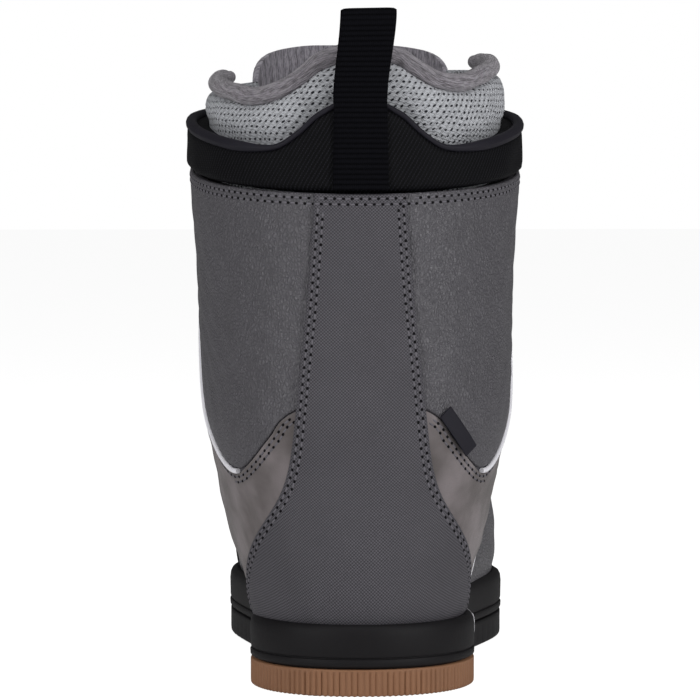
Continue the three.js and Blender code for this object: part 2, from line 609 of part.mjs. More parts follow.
function collar() {
  const route = cuffRoute(COLLAR_REACH, collarTop, COLLAR_BULGE - COLLAR_PIPING_DIAMETER / 2);
  add("collar_piping", "black_trim", cordAlong(route, COLLAR_PIPING_DIAMETER, 6));
  const room = solid(cordAlong(route, COLLAR_PIPING_DIAMETER + 2 * GAP, 6));
  const ring = layer(PADDING_BOTTOM, COLLAR_BULGE).intersect(below(collarTop));
  const fromRim = ring.subtract(below((degrees) => rimHeight(degrees) + GAP));
  add("collar", "black_mesh", largestBody(fromRim.subtract(throat).subtract(room)));
  return room;
}

// The loop's outer leg is sewn flat on the collar; above the collar the webbing folds over.
const loopOuter = onCuff(0, RIM_HEIGHT + COLLAR_HEIGHT, COLLAR_BULGE + GAP).point;
const loopInner = onCuff(0, RIM_HEIGHT + COLLAR_HEIGHT, LINER_TOP + GAP / 2).point;
const LOOP_PIVOT = V(0, loopOuter.y, RIM_HEIGHT + COLLAR_HEIGHT + COLLAR_PIPING_DIAMETER + 2 * GAP);
function pullLoop(pipingRoom) {
  const rise = layer(COLLAR_BULGE + GAP, COLLAR_BULGE + GAP + WEBBING_THICKNESS);
  const halfWidth = WEBBING_WIDTH / 2;
  const strip = boxShape(-halfWidth, RIM_HEIGHT + 1.5, halfWidth, LOOP_PIVOT.z - GAP);
  const leg = rise.intersect(acrossFront(strip, -FAR, SHAFT_Y)).subtract(pipingRoom);
  add("pull_loop_base", "webbing", leg);

  const top = RIM_HEIGHT + LOOP_HEIGHT;
  const outside = loopOuter.y - WEBBING_THICKNESS;
  const inside = loopInner.y;
  const radius = (inside - outside) / 2;
  const shape = new THREE.Shape();
  shape.moveTo(outside, LOOP_PIVOT.z);
  shape.lineTo(outside, top - radius);
  shape.absarc(outside + radius, top - radius, radius, Math.PI, 0, true);
  shape.lineTo(inside, LOOP_PIVOT.z);
  shape.lineTo(inside - WEBBING_THICKNESS, LOOP_PIVOT.z);
  shape.lineTo(inside - WEBBING_THICKNESS, top - radius);
  shape.absarc(outside + radius, top - radius, radius - WEBBING_THICKNESS, 0, Math.PI, false);
  shape.lineTo(outside + WEBBING_THICKNESS, LOOP_PIVOT.z);
  add("pull_loop", "webbing", acrossSide(shape, -halfWidth, halfWidth));
}

// A blank woven label, caught in the outer side's seam behind the cuff quarter.
function sideLabel() {
  const [length, width, thickness] = [21, 7, 0.8];
  const { point, normal } = onCuff(30, 107.5, OVERLAY_TOP + GAP + 0.9);
  const mesh = add("side_label", "black_trim", new THREE.BoxGeometry(length, width, thickness));
  const along = V(0.7, 0, -0.72).projectOnPlane(normal).normalize();
  mesh.quaternion.setFromRotationMatrix(basis(along, normal.clone().cross(along), normal));
  mesh.position.copy(point).addScaledVector(normal, thickness / 2);
}

// ---- Tongue -------------------------------------------------------------------------------------
const tongue = new THREE.Group();
const tongueTop = (degrees) =>
  RIM_HEIGHT + TONGUE_HEIGHT - 10 * smoothstep(180 - degrees, 10, 55);
function tongueParts() {
  const outline = opening(TONGUE_CLEARANCE);
  const top = below(tongueTop);
  add("tongue_shell", "leather", layer(-SHELL_THICKNESS, OVERLAY_TOP).intersect(outline).intersect(top), tongue);
  add("tongue_padding", "foam", layer(PADDING_BOTTOM, PADDING_TOP).intersect(opening(TONGUE_CLEARANCE + 1))
    .intersect(below((d) => tongueTop(d) - 2)), tongue);
  const panel = boxShape(-15, THROAT_HEIGHT + 12, 15, dialCentre.point.z - DIAL_RADIUS - 9);
  add("tongue_panel", "woven", layer(SECOND_BOTTOM, SECOND_TOP).intersect(acrossFront(panel, SHAFT_Y, FAR)), tongue);
}

// ---- Lace dial ----------------------------------------------------------------------------------
// Built along its own axis, which is square to the tongue, from the tongue's face outwards.
const dialCentre = onFront(0, FRONT_RIM - DIAL_BELOW_RIM_FRONT, OVERLAY_TOP + GAP);
const FLANGE_THICKNESS = 2;
const HOUSING_WALL = 2;
const SPOOL_RADIUS = 8;
const LACE_LEVEL = FLANGE_THICKNESS + 1 + 2 * RUNNING_CLEARANCE + LACE_DIAMETER; // above the tongue
const dialTurn = new THREE.Quaternion().setFromUnitVectors(V(0, 0, 1), dialCentre.normal);
function onDialAxis(parent) {
  const group = new THREE.Group();
  group.position.copy(dialCentre.point);
  group.quaternion.copy(dialTurn);
  parent.add(group);
  return group;
}
const turned = (points, segments = 40) =>
  new THREE.LatheGeometry(points.map(([r, z]) => new THREE.Vector2(r, z)), segments).rotateX(Math.PI / 2);
const disc = (inner, outer, from, to, segments) => inner
  ? turned([[inner, from], [outer, from], [outer, to], [inner, to], [inner, from]], segments)
  : turned([[0, from], [outer, from], [outer, to], [0, to]], segments);

function dial() {
  const fixed = onDialAxis(tongue);
  const floorTop = FLANGE_THICKNESS + GAP + 1;
  const housingTop = FLANGE_THICKNESS + HOUSING_HEIGHT;
  const inner = DIAL_RADIUS - 2.5 - HOUSING_WALL;
  // The base is flat in front and shaped to the tongue behind.
  const base = disc(0, DIAL_RADIUS + 3.5, -9, FLANGE_THICKNESS, 36);
  base.applyQuaternion(dialTurn).translate(...dialCentre.point.toArray());
  add("dial_base", "plastic", solid(base).subtract(bootSolid(OVERLAY_TOP + GAP)), tongue);

  // The housing is a cup with a ratchet ring at its mouth and a lace port on each side.
  const cup = solid(disc(0, DIAL_RADIUS - 2.5, FLANGE_THICKNESS + GAP, housingTop, 32))
    .subtract(solid(disc(0, inner, floorTop, housingTop + 1, 32)));
  const port = solid(new THREE.CylinderGeometry(LACE_DIAMETER / 2 + LACE_CLEARANCE, LACE_DIAMETER / 2 + LACE_CLEARANCE,
    4 * DIAL_RADIUS, 10).rotateZ(Math.PI / 2).translate(0, 0, LACE_LEVEL));
  const teeth = 14;
  let ratchet = solid(disc(inner - 1.6, inner + 0.5, housingTop - 2.4, housingTop, 32));
  for (let i = 0; i < teeth; i++) {
    const notch = new THREE.CylinderGeometry(0.8, 0.8, 4, 5).rotateX(Math.PI / 2);
    const a = (2 * Math.PI * i) / teeth;
    const reach = inner - 1.6;
    ratchet = ratchet.subtract(solid(notch.translate(reach * Math.cos(a), reach * Math.sin(a), housingTop - 1)));
  }
  add("dial_housing", "plastic", cup.add(ratchet).subtract(port), fixed);
  const axleTop = housingTop + KNOB_HEIGHT - 3;
  const axleFoot = solid(disc(0, 4, floorTop + GAP, floorTop + GAP + 0.8, 24));
  const axlePin = solid(disc(0, AXLE_RADIUS, floorTop + GAP, axleTop, 24));
  add("dial_axle", "steel", axleFoot.add(axlePin), fixed);

  // The spool turns on the axle with the lace round its drum.
  const spoolGroup = onDialAxis(tongue);
  const spoolBottom = floorTop + GAP + 0.8 + RUNNING_CLEARANCE;
  const bore = AXLE_RADIUS + RUNNING_CLEARANCE;
  const spoolTop = housingTop - 3.4;
  const spool = turned([
    [bore, spoolBottom], [SPOOL_RADIUS + 1.6, spoolBottom], [SPOOL_RADIUS + 1.6, spoolBottom + 0.5],
    [SPOOL_RADIUS - 2.4, spoolBottom + 0.9], [SPOOL_RADIUS - 2.4, spoolTop - 0.9],
    [SPOOL_RADIUS + 1.6, spoolTop - 0.5], [SPOOL_RADIUS + 1.6, spoolTop], [bore, spoolTop], [bore, spoolBottom],
  ], 28);
  add("lace_spool", "plastic", spool, spoolGroup);

  // The pawl disc lies in the ratchet ring; the bush lifts it and the knob off the ratchet.
  const movingGroup = onDialAxis(tongue);
  const pawlBottom = spoolTop + RUNNING_CLEARANCE;
  const pawlTop = housingTop - 0.3;
  const bushOuter = 4;
  let pawls = solid(disc(bushOuter + RUNNING_CLEARANCE, inner - 4.4, pawlBottom, pawlTop, 30));
  for (let i = 0; i < 4; i++) {
    const arm = new THREE.BoxGeometry(5, 2.2, pawlTop - pawlBottom - 0.4)
      .rotateZ(0.7).translate(inner - 4.6, 0, (pawlBottom + pawlTop) / 2).rotateZ((Math.PI * i) / 2);
    pawls = pawls.add(solid(arm));
  }
  add("pawl_disc", "plastic", pawls, movingGroup);
  const bush = disc(AXLE_RADIUS + RUNNING_CLEARANCE, bushOuter, pawlBottom, axleTop - 0.5, 24);
  add("dial_bush", "steel", bush, movingGroup);

  // The knob: a ribbed rim with a shallow dish in its face, hollow over the housing's mouth.
  const knobBottom = housingTop + RUNNING_CLEARANCE;
  const knobTop = housingTop + KNOB_HEIGHT;
  let knob = solid(turned([
    [0, knobBottom + 4], [DIAL_RADIUS - 4, knobBottom + 4], [DIAL_RADIUS - 4, knobBottom], [DIAL_RADIUS, knobBottom],
    [DIAL_RADIUS + 1, knobBottom + 1.5], [DIAL_RADIUS, knobTop - 1.2], [DIAL_RADIUS - 1.5, knobTop],
    [DIAL_RADIUS - 4, knobTop - 0.4], [0, knobTop - 1.4],
  ], 36));
  const ribs = 18;
  for (let i = 0; i < ribs; i++) {
    const a = (2 * Math.PI * i) / ribs;
    const groove = new THREE.CylinderGeometry(0.9, 0.9, 3 * KNOB_HEIGHT, 6).rotateX(Math.PI / 2);
    const reach = DIAL_RADIUS + 1.3;
    knob = knob.subtract(solid(groove.translate(reach * Math.cos(a), reach * Math.sin(a), knobTop)));
  }
  const well = solid(disc(0, bushOuter + RUNNING_CLEARANCE, knobBottom - 1, axleTop + 0.6, 24));
  add("dial_knob", "plastic", knob.subtract(well), movingGroup);
}

// ---- Lace and its guides ------------------------------------------------------------------------
const GUIDE_BOTTOM = SECOND_TOP + GAP + 0.6;
const LACE_OFFSET = GUIDE_BOTTOM + GUIDE_THICKNESS / 2;
const guideRows = Array.from({ length: GUIDE_ROWS }, (_, row) => {
  const [top, bottom] = [FRONT_RIM - 26, THROAT_HEIGHT + 21];
  return top + ((bottom - top) * row) / (GUIDE_ROWS - 1);
});

// A guide's own axes: out from the opening, up along it, and away from the boot.
function guideFrame(side, row) {
  const z = guideRows[row];
  const x = side * (openingHalfWidth(z) + EYESTAY_WIDTH / 2);
  const { point, normal } = onFront(x, z, LACE_OFFSET);
  const above = onFront(side * (openingHalfWidth(z + 2) + EYESTAY_WIDTH / 2), z + 2, LACE_OFFSET).point;
  const up = above.sub(point).projectOnPlane(normal).normalize();
  const out = normal.clone().cross(up).multiplyScalar(side).normalize();
  return { point, normal, up, out };
}
const inGuide = ({ point, up, out }, u, v) =>
  point.clone().addScaledVector(out, u).addScaledVector(up, v);

// The lace turns back in a guide: in at the top and out at the bottom, or the other way.
function guideTurn(frame, downwards) {
  const r = LACE_TURN_RADIUS;
  const points = [[-8, 1.08], [-2, 1]].map(([u, v]) => inGuide(frame, u, v * r));
  for (const degrees of [55, 20, -20, -55])
    points.push(inGuide(frame, r * Math.cos(radians(degrees)), r * Math.sin(radians(degrees))));
  points.push(...[[-2, -1], [-8, -1.08]].map(([u, v]) => inGuide(frame, u, v * r)));
  return downwards ? points : points.reverse();
}

function laceRoute() {
  const axisPoint = (x, along) =>
    V(x, 0, along).applyQuaternion(dialTurn).add(dialCentre.point);
  const strand = (side) => {
    const route = [axisPoint(side * (SPOOL_RADIUS + 3), LACE_LEVEL), axisPoint(side * DIAL_RADIUS, LACE_LEVEL)];
    for (let row = 0; row < GUIDE_ROWS; row++) {
      const here = side * (row % 2 ? -1 : 1);
      route.push(...guideTurn(guideFrame(here, row), true));
      if (row === GUIDE_ROWS - 1) continue;
      // Between rows the strands cross on the tongue, one over the other by turns.
      const z = (guideRows[row] + guideRows[row + 1]) / 2;
      const slope = (guideRows[row] - guideRows[row + 1] - 2 * LACE_TURN_RADIUS) / (2 * openingHalfWidth(z));
      const over = (side > 0) === (row % 2 === 0);
      const middle = over ? OVERLAY_TOP + 2.35 * LACE_DIAMETER + 1.9 : OVERLAY_TOP + LACE_DIAMETER / 2 + 2.2;
      for (const share of [1, 0.55, 0, -0.55, -1]) {
        const x = here * share * (openingHalfWidth(z) + 2);
        const offset = middle + (LACE_OFFSET + 0.6 - middle) * share ** 2;
        route.push(onFront(x, z + slope * here * x, offset).point);
      }
    }
    return route;
  };
  const bottom = guideRows.at(-1) - LACE_TURN_RADIUS;
  const across = [1, 0.5, 0, -0.5, -1].map((share) =>
    onFront(share * openingHalfWidth(bottom), bottom, LACE_OFFSET).point);
  const first = strand(1);
  const second = strand(-1).reverse();
  const endsLateral = first.at(-1).x > 0;
  return [...first, ...(endsLateral ? across : across.reverse()), ...second];
}

function laceAndGuides() {
  const route = laceRoute();
  add("lace", "lace", cordAlong(route, LACE_DIAMETER, 6));
  const room = solid(cordAlong(route, LACE_DIAMETER + 2 * LACE_CLEARANCE, 6));
  for (const [name, side] of Object.entries(SIDES))
    for (let row = 0; row < GUIDE_ROWS; row++) {
      const { point, up, out } = guideFrame(side, row);
      const halfHeight = LACE_TURN_RADIUS + LACE_DIAMETER / 2 + 2;
      const shape = new THREE.Shape();
      shape.moveTo(-4.5, -halfHeight);
      shape.lineTo(-4.5, halfHeight);
      shape.absarc(1, 0, halfHeight, Math.PI / 2, -Math.PI / 2, true);
      const body = extruded(shape, GUIDE_THICKNESS, 5).translate(0, 0, -GUIDE_THICKNESS / 2);
      const turn = basis(out, up, out.clone().cross(up));
      body.applyMatrix4(turn.setPosition(point));
      add(`lace_guide_${name}_${row + 1}`, "plastic", solid(body).subtract(room));
    }
}

// ---- Liner --------------------------------------------------------------------------------------
const LINER_REACH = 124;
const linerTongue = new THREE.Group();
function liner() {
  const height = (degrees, side) => linerTop(degrees, side) + ROLL_DIAMETER / 2;
  const route = cuffRoute(LINER_REACH, height, (LINER_TOP + LINER_BOTTOM) / 2);
  add("liner_roll", "liner_jersey", cordAlong(route, ROLL_DIAMETER, 8));
  const room = solid(cordAlong(route, ROLL_DIAMETER + 2 * GAP, 8));

  const sockFloor = UNDERFOOT + 4;
  const outer = bootSolid(LINER_TOP, UNDERFOOT);
  const inner = bootSolid(LINER_BOTTOM, sockFloor);
  const sock = outer.subtract(inner).intersect(below(linerTop)).subtract(opening(2)).subtract(room);
  const cuffLine = RIM_HEIGHT - 22; // where the boot part's foam meets the padded mesh cuff
  const split = (gap) => acrossSide(boxShape(-FAR, cuffLine + gap, FAR, FAR));
  const ball = (gap) => acrossSide(boxShape(0.52 * SOLE_LENGTH + gap, 0, FAR, THROAT_HEIGHT + 7));
  add("liner_boot", "foam", sock.subtract(split(-GAP / 2)).subtract(ball(-GAP / 2)));
  add("liner_forefoot", "foam", sock.intersect(ball(GAP / 2)));
  add("liner_cuff", "liner_mesh", sock.intersect(split(GAP / 2)));
  const footbed = bootSolid(LINER_BOTTOM - GAP, sockFloor + GAP);
  add("footbed", "black_trim",
    footbed.intersect(acrossSide(boxShape(-FAR, 0, FAR, sockFloor + GAP + FOOTBED_THICKNESS))));

  const flap = layer(LINER_BOTTOM, LINER_TOP).intersect(opening(TONGUE_CLEARANCE + 3))
    .intersect(below((d) => RIM_HEIGHT + LINER_TONGUE_HEIGHT - 5 * smoothstep(180 - d, 12, 50)));
  add("liner_tongue", "liner_jersey", flap, linerTongue);
}

// ---- Assembly -----------------------------------------------------------------------------------
sole();
soleBadge();
shell();
panels(addPipings());
reinforcements();
pullLoop(collar());
sideLabel();
tongueParts();
dial();
laceAndGuides();
liner();
boot.add(tongue, linerTongue);

// The origin is under the middle of the whole boot, on the ground.
const box = new THREE.Box3().setFromObject(boot);
boot.position.set(-(box.min.x + box.max.x) / 2, -(box.min.y + box.max.y) / 2, -box.min.z);

export default boot;
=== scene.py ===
"""The looks of a right-foot snowboard boot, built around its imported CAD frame.

The soft layers follow one boot surface, the same one that the CAD layers are cut from. Lengths are
in millimetres in the boot's own frame, with the heel's back at y = 0, until place() turns them into
the row's metres. An offset is a distance from the boot surface: above 0 is outside it.
"""

import math

import bpy
import numpy as np
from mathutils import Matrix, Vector


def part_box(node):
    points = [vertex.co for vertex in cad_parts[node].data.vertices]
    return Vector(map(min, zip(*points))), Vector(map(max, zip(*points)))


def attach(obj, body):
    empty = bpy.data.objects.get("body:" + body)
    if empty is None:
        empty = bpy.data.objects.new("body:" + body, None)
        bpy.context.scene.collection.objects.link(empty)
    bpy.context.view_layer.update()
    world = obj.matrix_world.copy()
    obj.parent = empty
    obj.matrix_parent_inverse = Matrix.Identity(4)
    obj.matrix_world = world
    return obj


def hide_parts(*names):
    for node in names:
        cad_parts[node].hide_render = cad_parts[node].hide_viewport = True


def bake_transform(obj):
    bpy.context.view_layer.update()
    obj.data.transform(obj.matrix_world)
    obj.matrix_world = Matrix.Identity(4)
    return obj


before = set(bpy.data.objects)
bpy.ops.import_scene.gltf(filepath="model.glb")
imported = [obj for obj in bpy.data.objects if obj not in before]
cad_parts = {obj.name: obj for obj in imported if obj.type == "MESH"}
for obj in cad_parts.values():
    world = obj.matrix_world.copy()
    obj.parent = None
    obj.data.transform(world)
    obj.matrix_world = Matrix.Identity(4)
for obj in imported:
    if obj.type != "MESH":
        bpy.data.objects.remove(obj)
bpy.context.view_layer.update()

# ---- Driving dimensions --------------------------------------------------------------------------
MM = 0.001
SOLE_LENGTH = round((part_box("cupsole")[1].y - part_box("cupsole")[0].y) / MM)
HEEL_WIDTH = 95
WAIST_WIDTH = 84
BALL_WIDTH = 122
CUFF_WIDTH = 140
RIM_HEIGHT = 205
RIM_RISE = 17
TOE_BOX_HEIGHT = 84
THROAT_HEIGHT = 103
THROAT_RADIUS = 23
OPENING_HALF_WIDTH = 45
EYESTAY_WIDTH = 19

TREAD_THICKNESS = 11.2
OUTSOLE_TOP = 13.5
MIDSOLE_TOP = 29.5
HEEL_TREAD_LENGTH = 84
WAIST_LENGTH = 34
FEATHER_Z = OUTSOLE_TOP + 3.2

SHELL_BOTTOM = -2.2
OVERLAY_BOTTOM = 0.4
OVERLAY_TOP = 1.7
SECOND_TOP = 3.4
PADDING_TOP = -2.6
PADDING_BOTTOM = -6.2
LINER_TOP = -6.6
LINER_BOTTOM = -12.6
COLLAR_BULGE = 2.4
PIPING_RADIUS = 0.95
ROLL_RADIUS = 3.5
LINER_LEAN = 4
WEBBING_WIDTH = 22
WEBBING_THICKNESS = 1.6
LOOP_TOP = RIM_HEIGHT + 76
LOOP_PIVOT_Z = 248
LACE_RADIUS = 1.2

SHAFT_Y = 0.28 * SOLE_LENGTH
FRONT_RIM = RIM_HEIGHT + RIM_RISE
FAN_Y = 0.645 * SOLE_LENGTH
FAN_Z = THROAT_HEIGHT + 62
FAR = 400.0
GRID = 2.2  # the size of a surface mesh's faces
SIDES = {"medial": -1, "lateral": 1}


# ---- Smooth functions ----------------------------------------------------------------------------
def through(knots):
    """The smooth curve y(x) through knots (x, y), held level beyond both ends."""
    xs, ys = np.array(knots, float).T
    slopes = np.empty_like(ys)
    slopes[1:-1] = (ys[2:] - ys[:-2]) / (xs[2:] - xs[:-2])
    slopes[0] = (ys[1] - ys[0]) / (xs[1] - xs[0])
    slopes[-1] = (ys[-1] - ys[-2]) / (xs[-1] - xs[-2])

    def curve(x):
        t = np.clip(x, xs[0], xs[-1])
        i = np.clip(np.searchsorted(xs, t, "right") - 1, 0, len(xs) - 2)
        w = xs[i + 1] - xs[i]
        u = (t - xs[i]) / w
        ends = ys[i] * (2 * u**3 - 3 * u**2 + 1) + ys[i + 1] * (3 * u**2 - 2 * u**3)
        return ends + w * (slopes[i] * (u**3 - 2 * u**2 + u) + slopes[i + 1] * (u**3 - u**2))

    return curve


def shares(knots, scale):
    return through([(s * scale, value) for s, value in knots])


def smoothstep(x, low, high):
    t = np.clip((x - low) / (high - low), 0, 1)
    return t * t * (3 - 2 * t)


def norm(power, *terms):
    return sum(np.abs(t) ** power for t in terms) ** (1 / power)


def smooth_min(a, b, width):
    h = np.maximum(width - np.abs(a - b), 0) / width
    return np.minimum(a, b) - h * h * width / 4


# ---- The boot surface, as in the CAD -------------------------------------------------------------
HEEL = HEEL_WIDTH / 2
CUFF = CUFF_WIDTH / 2 - OVERLAY_TOP
TUCK_TOP = MIDSOLE_TOP + 14
TUCK = 6
SIDEWALL_TOP = 40

shaft_half_width = through([
    (z, HEEL + (CUFF - HEEL) * share) for z, share in [
        (MIDSOLE_TOP, -0.23), (44, -0.11), (60, 0.16), (76, 0.365), (94, 0.52), (114, 0.69), (136, 0.775),
        (0.87 * RIM_HEIGHT, 0.88), (RIM_HEIGHT + 7, 1), (RIM_HEIGHT + 40, 0.99), (RIM_HEIGHT + 70, 0.9)]])
back_line = through([
    (MIDSOLE_TOP, 6.5), (42, 5), (58, 5), (78, 8.5), (100, 13.5), (130, 17.5),
    (0.83 * RIM_HEIGHT, 18), (RIM_HEIGHT, 17), (RIM_HEIGHT + 40, 20), (RIM_HEIGHT + 75, 25)])
shaft_front = through([
    (z, share * SOLE_LENGTH) for z, share in [
        (MIDSOLE_TOP, 0.34), (60, 0.39), (100, 0.475), (130, 0.505), (0.8 * RIM_HEIGHT, 0.52),
        (RIM_HEIGHT, 0.532), (RIM_HEIGHT + 40, 0.537)]])
foot_half_width = shares([
    (0.12, HEEL - 5), (0.4, WAIST_WIDTH / 2 - 1), (0.68, BALL_WIDTH / 2 - 4.5),
    (0.85, BALL_WIDTH / 2 - 8), (1, BALL_WIDTH / 2 - 13)], SOLE_LENGTH)
foot_centre = shares([(0, 0), (0.4, 5), (0.66, 9.5), (0.85, 5.5), (1, 0)], SOLE_LENGTH)
instep_height = shares([
    (0.48, THROAT_HEIGHT + 50), (0.53, THROAT_HEIGHT + 38), (0.58, THROAT_HEIGHT + 21),
    (0.63, THROAT_HEIGHT + 8), (0.68, THROAT_HEIGHT - 1), (0.77, TOE_BOX_HEIGHT + 8),
    (0.87, TOE_BOX_HEIGHT + 1), (1, TOE_BOX_HEIGHT - 4)], SOLE_LENGTH)


def boot_field(p):
    """Below 0 inside the boot, 0 on its surface: a shaft and a foot, blended at the ankle."""
    x, y, z = p[..., 0], p[..., 1], p[..., 2]
    tuck = TUCK * (1 - np.clip((z - FEATHER_Z) / (TUCK_TOP - FEATHER_Z), 0, 1)) ** 2
    back, front = back_line(z) + tuck, shaft_front(z)
    half_width, half_depth = shaft_half_width(z) - tuck, (front - back) / 2
    shaft = norm(2.25, x / half_width, (y - back - half_depth) / half_depth) - 1

    toe_start, toe_end = 0.7 * SOLE_LENGTH, SOLE_LENGTH - 4 - tuck
    width, height = foot_half_width(y) - tuck, instep_height(y) - SIDEWALL_TOP
    foot = norm(
        2.5,
        (x - foot_centre(y)) / width,
        np.maximum(z - SIDEWALL_TOP, 0) / height,
        (np.maximum(y - toe_start, 0) / (toe_end - toe_start)) ** 1.15,
        np.maximum(0.22 * SOLE_LENGTH - y, 0) / (0.15 * SOLE_LENGTH),
    ) - 1
    blend = 5 + 33 * smoothstep(z, 60, THROAT_HEIGHT + 12)
    return smooth_min(
        shaft * np.minimum(half_width, half_depth), foot * np.minimum(width, height), blend)


def field_normal(p, field=boot_field):
    step = 0.5
    axes = np.eye(3) * step
    slope = np.stack([field(p + a) - field(p - a) for a in axes], -1)
    return slope / np.maximum(np.linalg.norm(slope, axis=-1, keepdims=True), 1e-9)


def inner_share(p):
    """Soft layers inside the forefoot are thinner than in the shaft."""
    forefoot = smoothstep(p[..., 1], 0.36 * SOLE_LENGTH, 0.6 * SOLE_LENGTH)
    return 1 - 0.32 * forefoot * (1 - smoothstep(p[..., 2], THROAT_HEIGHT, THROAT_HEIGHT + 45))


def moved_out(p, n, offset):
    """Points moved an offset out from the surface; below 0 it shrinks in the forefoot."""
    offset = np.broadcast_to(np.asarray(offset, float), p.shape[:-1])
    share = np.where(offset < 0, inner_share(p), 1)
    return p + n * (offset * share)[..., None]


def surface_point(origin, direction):
    """The point and normal where rays from inside meet the boot surface."""
    inside = np.zeros(origin.shape[:-1])
    outside = np.full(origin.shape[:-1], 0.9 * FAR)
    for _ in range(34):
        middle = (inside + outside) / 2
        within = boot_field(origin + direction * middle[..., None]) < 0
        inside = np.where(within, middle, inside)
        outside = np.where(within, outside, middle)
    p = origin + direction * inside[..., None]
    return p, field_normal(p)


def on_cuff(degrees, z, offset=0.0):
    """Round the cuff at a height: 0 degrees is the back and 90 the outer side."""
    degrees, z, offset = np.broadcast_arrays(*(np.asarray(v, float) for v in (degrees, z, offset)))
    a = np.radians(degrees)
    origin = np.stack([0 * z, 0 * z + SHAFT_Y, z], -1)
    p, n = surface_point(origin, np.stack([np.sin(a), -np.cos(a), 0 * z], -1))
    return moved_out(p, n, offset), n


def on_front(x, z, offset=0.0):
    x, z, offset = np.broadcast_arrays(*(np.asarray(v, float) for v in (x, z, offset)))
    origin = np.stack([x, 0 * z + SHAFT_Y, z], -1)
    p, n = surface_point(origin, np.broadcast_to([0.0, 1.0, 0.0], origin.shape))
    return moved_out(p, n, offset), n


def on_side(side, y, z, offset=0.0):
    y, z, offset = np.broadcast_arrays(*(np.asarray(v, float) for v in (y, z, offset)))
    origin = np.stack([0 * y, y, z], -1)
    p, n = surface_point(origin, np.broadcast_to([float(side), 0.0, 0.0], origin.shape))
    return moved_out(p, n, offset), n


# ---- Lines that pieces share ---------------------------------------------------------------------
backstay_angle = through([
    (20, 57), (30, 55), (45, 46), (59, 37), (80, 25.5), (100, 21), (135, 19), (170, 17), (RIM_HEIGHT, 15.3)])
heart_line = through([
    (-14, 32.5), (0, 39), (14, 32.5), (21, 25), (28, 19.5), (36, 18.5), (48, 20), (64, 23.2), (90, 28),
    (135, 33), (180, 36)])
liner_line = through([
    (-16, 53), (0, 57), (16, 53), (22, 48.5), (32, 42.5), (46, 40), (60, 42.2), (90, 46), (120, 48),
    (180, 50)])


def rim_height(degrees):
    return RIM_HEIGHT + RIM_RISE * (1 - np.cos(np.radians(degrees))) / 2


def collar_top(degrees):
    return RIM_HEIGHT + heart_line(np.abs(degrees))


def liner_top(degrees):
    return RIM_HEIGHT + liner_line(np.abs(degrees)) + LINER_LEAN * np.sin(np.radians(degrees))


def cuff_degrees(p):
    return np.degrees(np.arctan2(p[..., 0], SHAFT_Y - p[..., 1]))


def side_curve(knots, count=90):
    """A smooth curve in the side view through (share of the sole's length, height) knots."""
    points = np.array([(s * SOLE_LENGTH, z) for s, z in knots])
    t = np.arange(len(points))
    u = np.linspace(0, len(points) - 1, count)
    return np.stack([through(list(zip(t, points[:, k])))(u) for k in (0, 1)], -1)


BAND_TOP = side_curve([
    (-0.05, 150), (0.041, 118.5), (0.063, 105), (0.088, 95), (0.116, 90), (0.15, 93), (0.19, 101.5),
    (0.24, 116), (0.3, 139), (0.36, 162), (0.42, 184), (0.47, 205)])
BAND_FRONT = side_curve([
    (0.455, 5), (0.47, 24), (0.495, 38), (0.53, 50), (0.57, 63), (0.615, 79), (0.66, 92), (0.72, 101),
    (0.8, 106)])
TOE_LINE = side_curve([(0.835, 0), (0.825, 45), (0.8, 78), (0.775, 110)])


def left_of(curve, p):
    """Signed distance, in the side view, of points from a curve: above 0 on its left."""
    a, b = curve[:-1], curve[1:]
    q = p[..., 1:3].reshape(-1, 1, 2)
    along = b - a
    t = np.clip(((q - a) * along).sum(-1) / (along**2).sum(-1), 0, 1)
    gap = q - a - t[..., None] * along
    nearest = np.argmin((gap**2).sum(-1), 1)
    rows = np.arange(len(gap))
    g, d = gap[rows, nearest], along[nearest]
    distance = np.linalg.norm(g, axis=-1) * np.sign(d[:, 0] * g[:, 1] - d[:, 1] * g[:, 0])
    return distance.reshape(p.shape[:-1])


def opening_half_width(z):
    start = THROAT_HEIGHT + THROAT_RADIUS
    return THROAT_RADIUS + (OPENING_HALF_WIDTH - THROAT_RADIUS) * (z - start) / (FRONT_RIM - start)


def outside_opening(p):
    """Distance, from the front, outside the tongue opening: below 0 in it, and far behind it."""
    x, y, z = p[..., 0], p[..., 1], p[..., 2]
    centre = THROAT_HEIGHT + THROAT_RADIUS
    round_end = np.hypot(x, z - centre) - THROAT_RADIUS
    straight = np.abs(x) - opening_half_width(z)
    distance = np.where(z < centre, round_end, straight)
    return np.where(y > SHAFT_Y + 12, distance, 50.0)


def surface_distance(values, p, n):
    """A signed function of points as a distance measured along the boot surface."""
    step = 0.4
    slope = np.stack([(values(p + a) - values(p - a)) / (2 * step) for a in np.eye(3) * step], -1)
    slope -= n * (slope * n).sum(-1, keepdims=True)
    return values(p) / np.clip(np.linalg.norm(slope, axis=-1), 0.25, 4)


def beside_backstay(p):
    radius = np.hypot(p[..., 0], SHAFT_Y - p[..., 1])
    return (np.abs(cuff_degrees(p)) - backstay_angle(p[..., 2])) * np.radians(radius)


# Distances from the lines that panels are cut along, each above 0 on the side that it names.
LINES = {
    "over_band": lambda p: left_of(BAND_TOP, p),
    "behind_band_front": lambda p: left_of(BAND_FRONT, p),
    "behind_toe_line": lambda p: left_of(TOE_LINE, p),
    "beside_backstay": beside_backstay,
    "under_rim": lambda p: rim_height(cuff_degrees(p)) - p[..., 2],
    "over_sole": lambda p: p[..., 2] - (MIDSOLE_TOP - 3),
    "under_collar_top": lambda p: collar_top(cuff_degrees(p)) - p[..., 2],
    "under_liner_top": lambda p: liner_top(cuff_degrees(p)) - p[..., 2],
}


# ---- Meshes --------------------------------------------------------------------------------------
def place(points):
    return (np.asarray(points, float) - [0, SOLE_LENGTH / 2, 0]) * MM


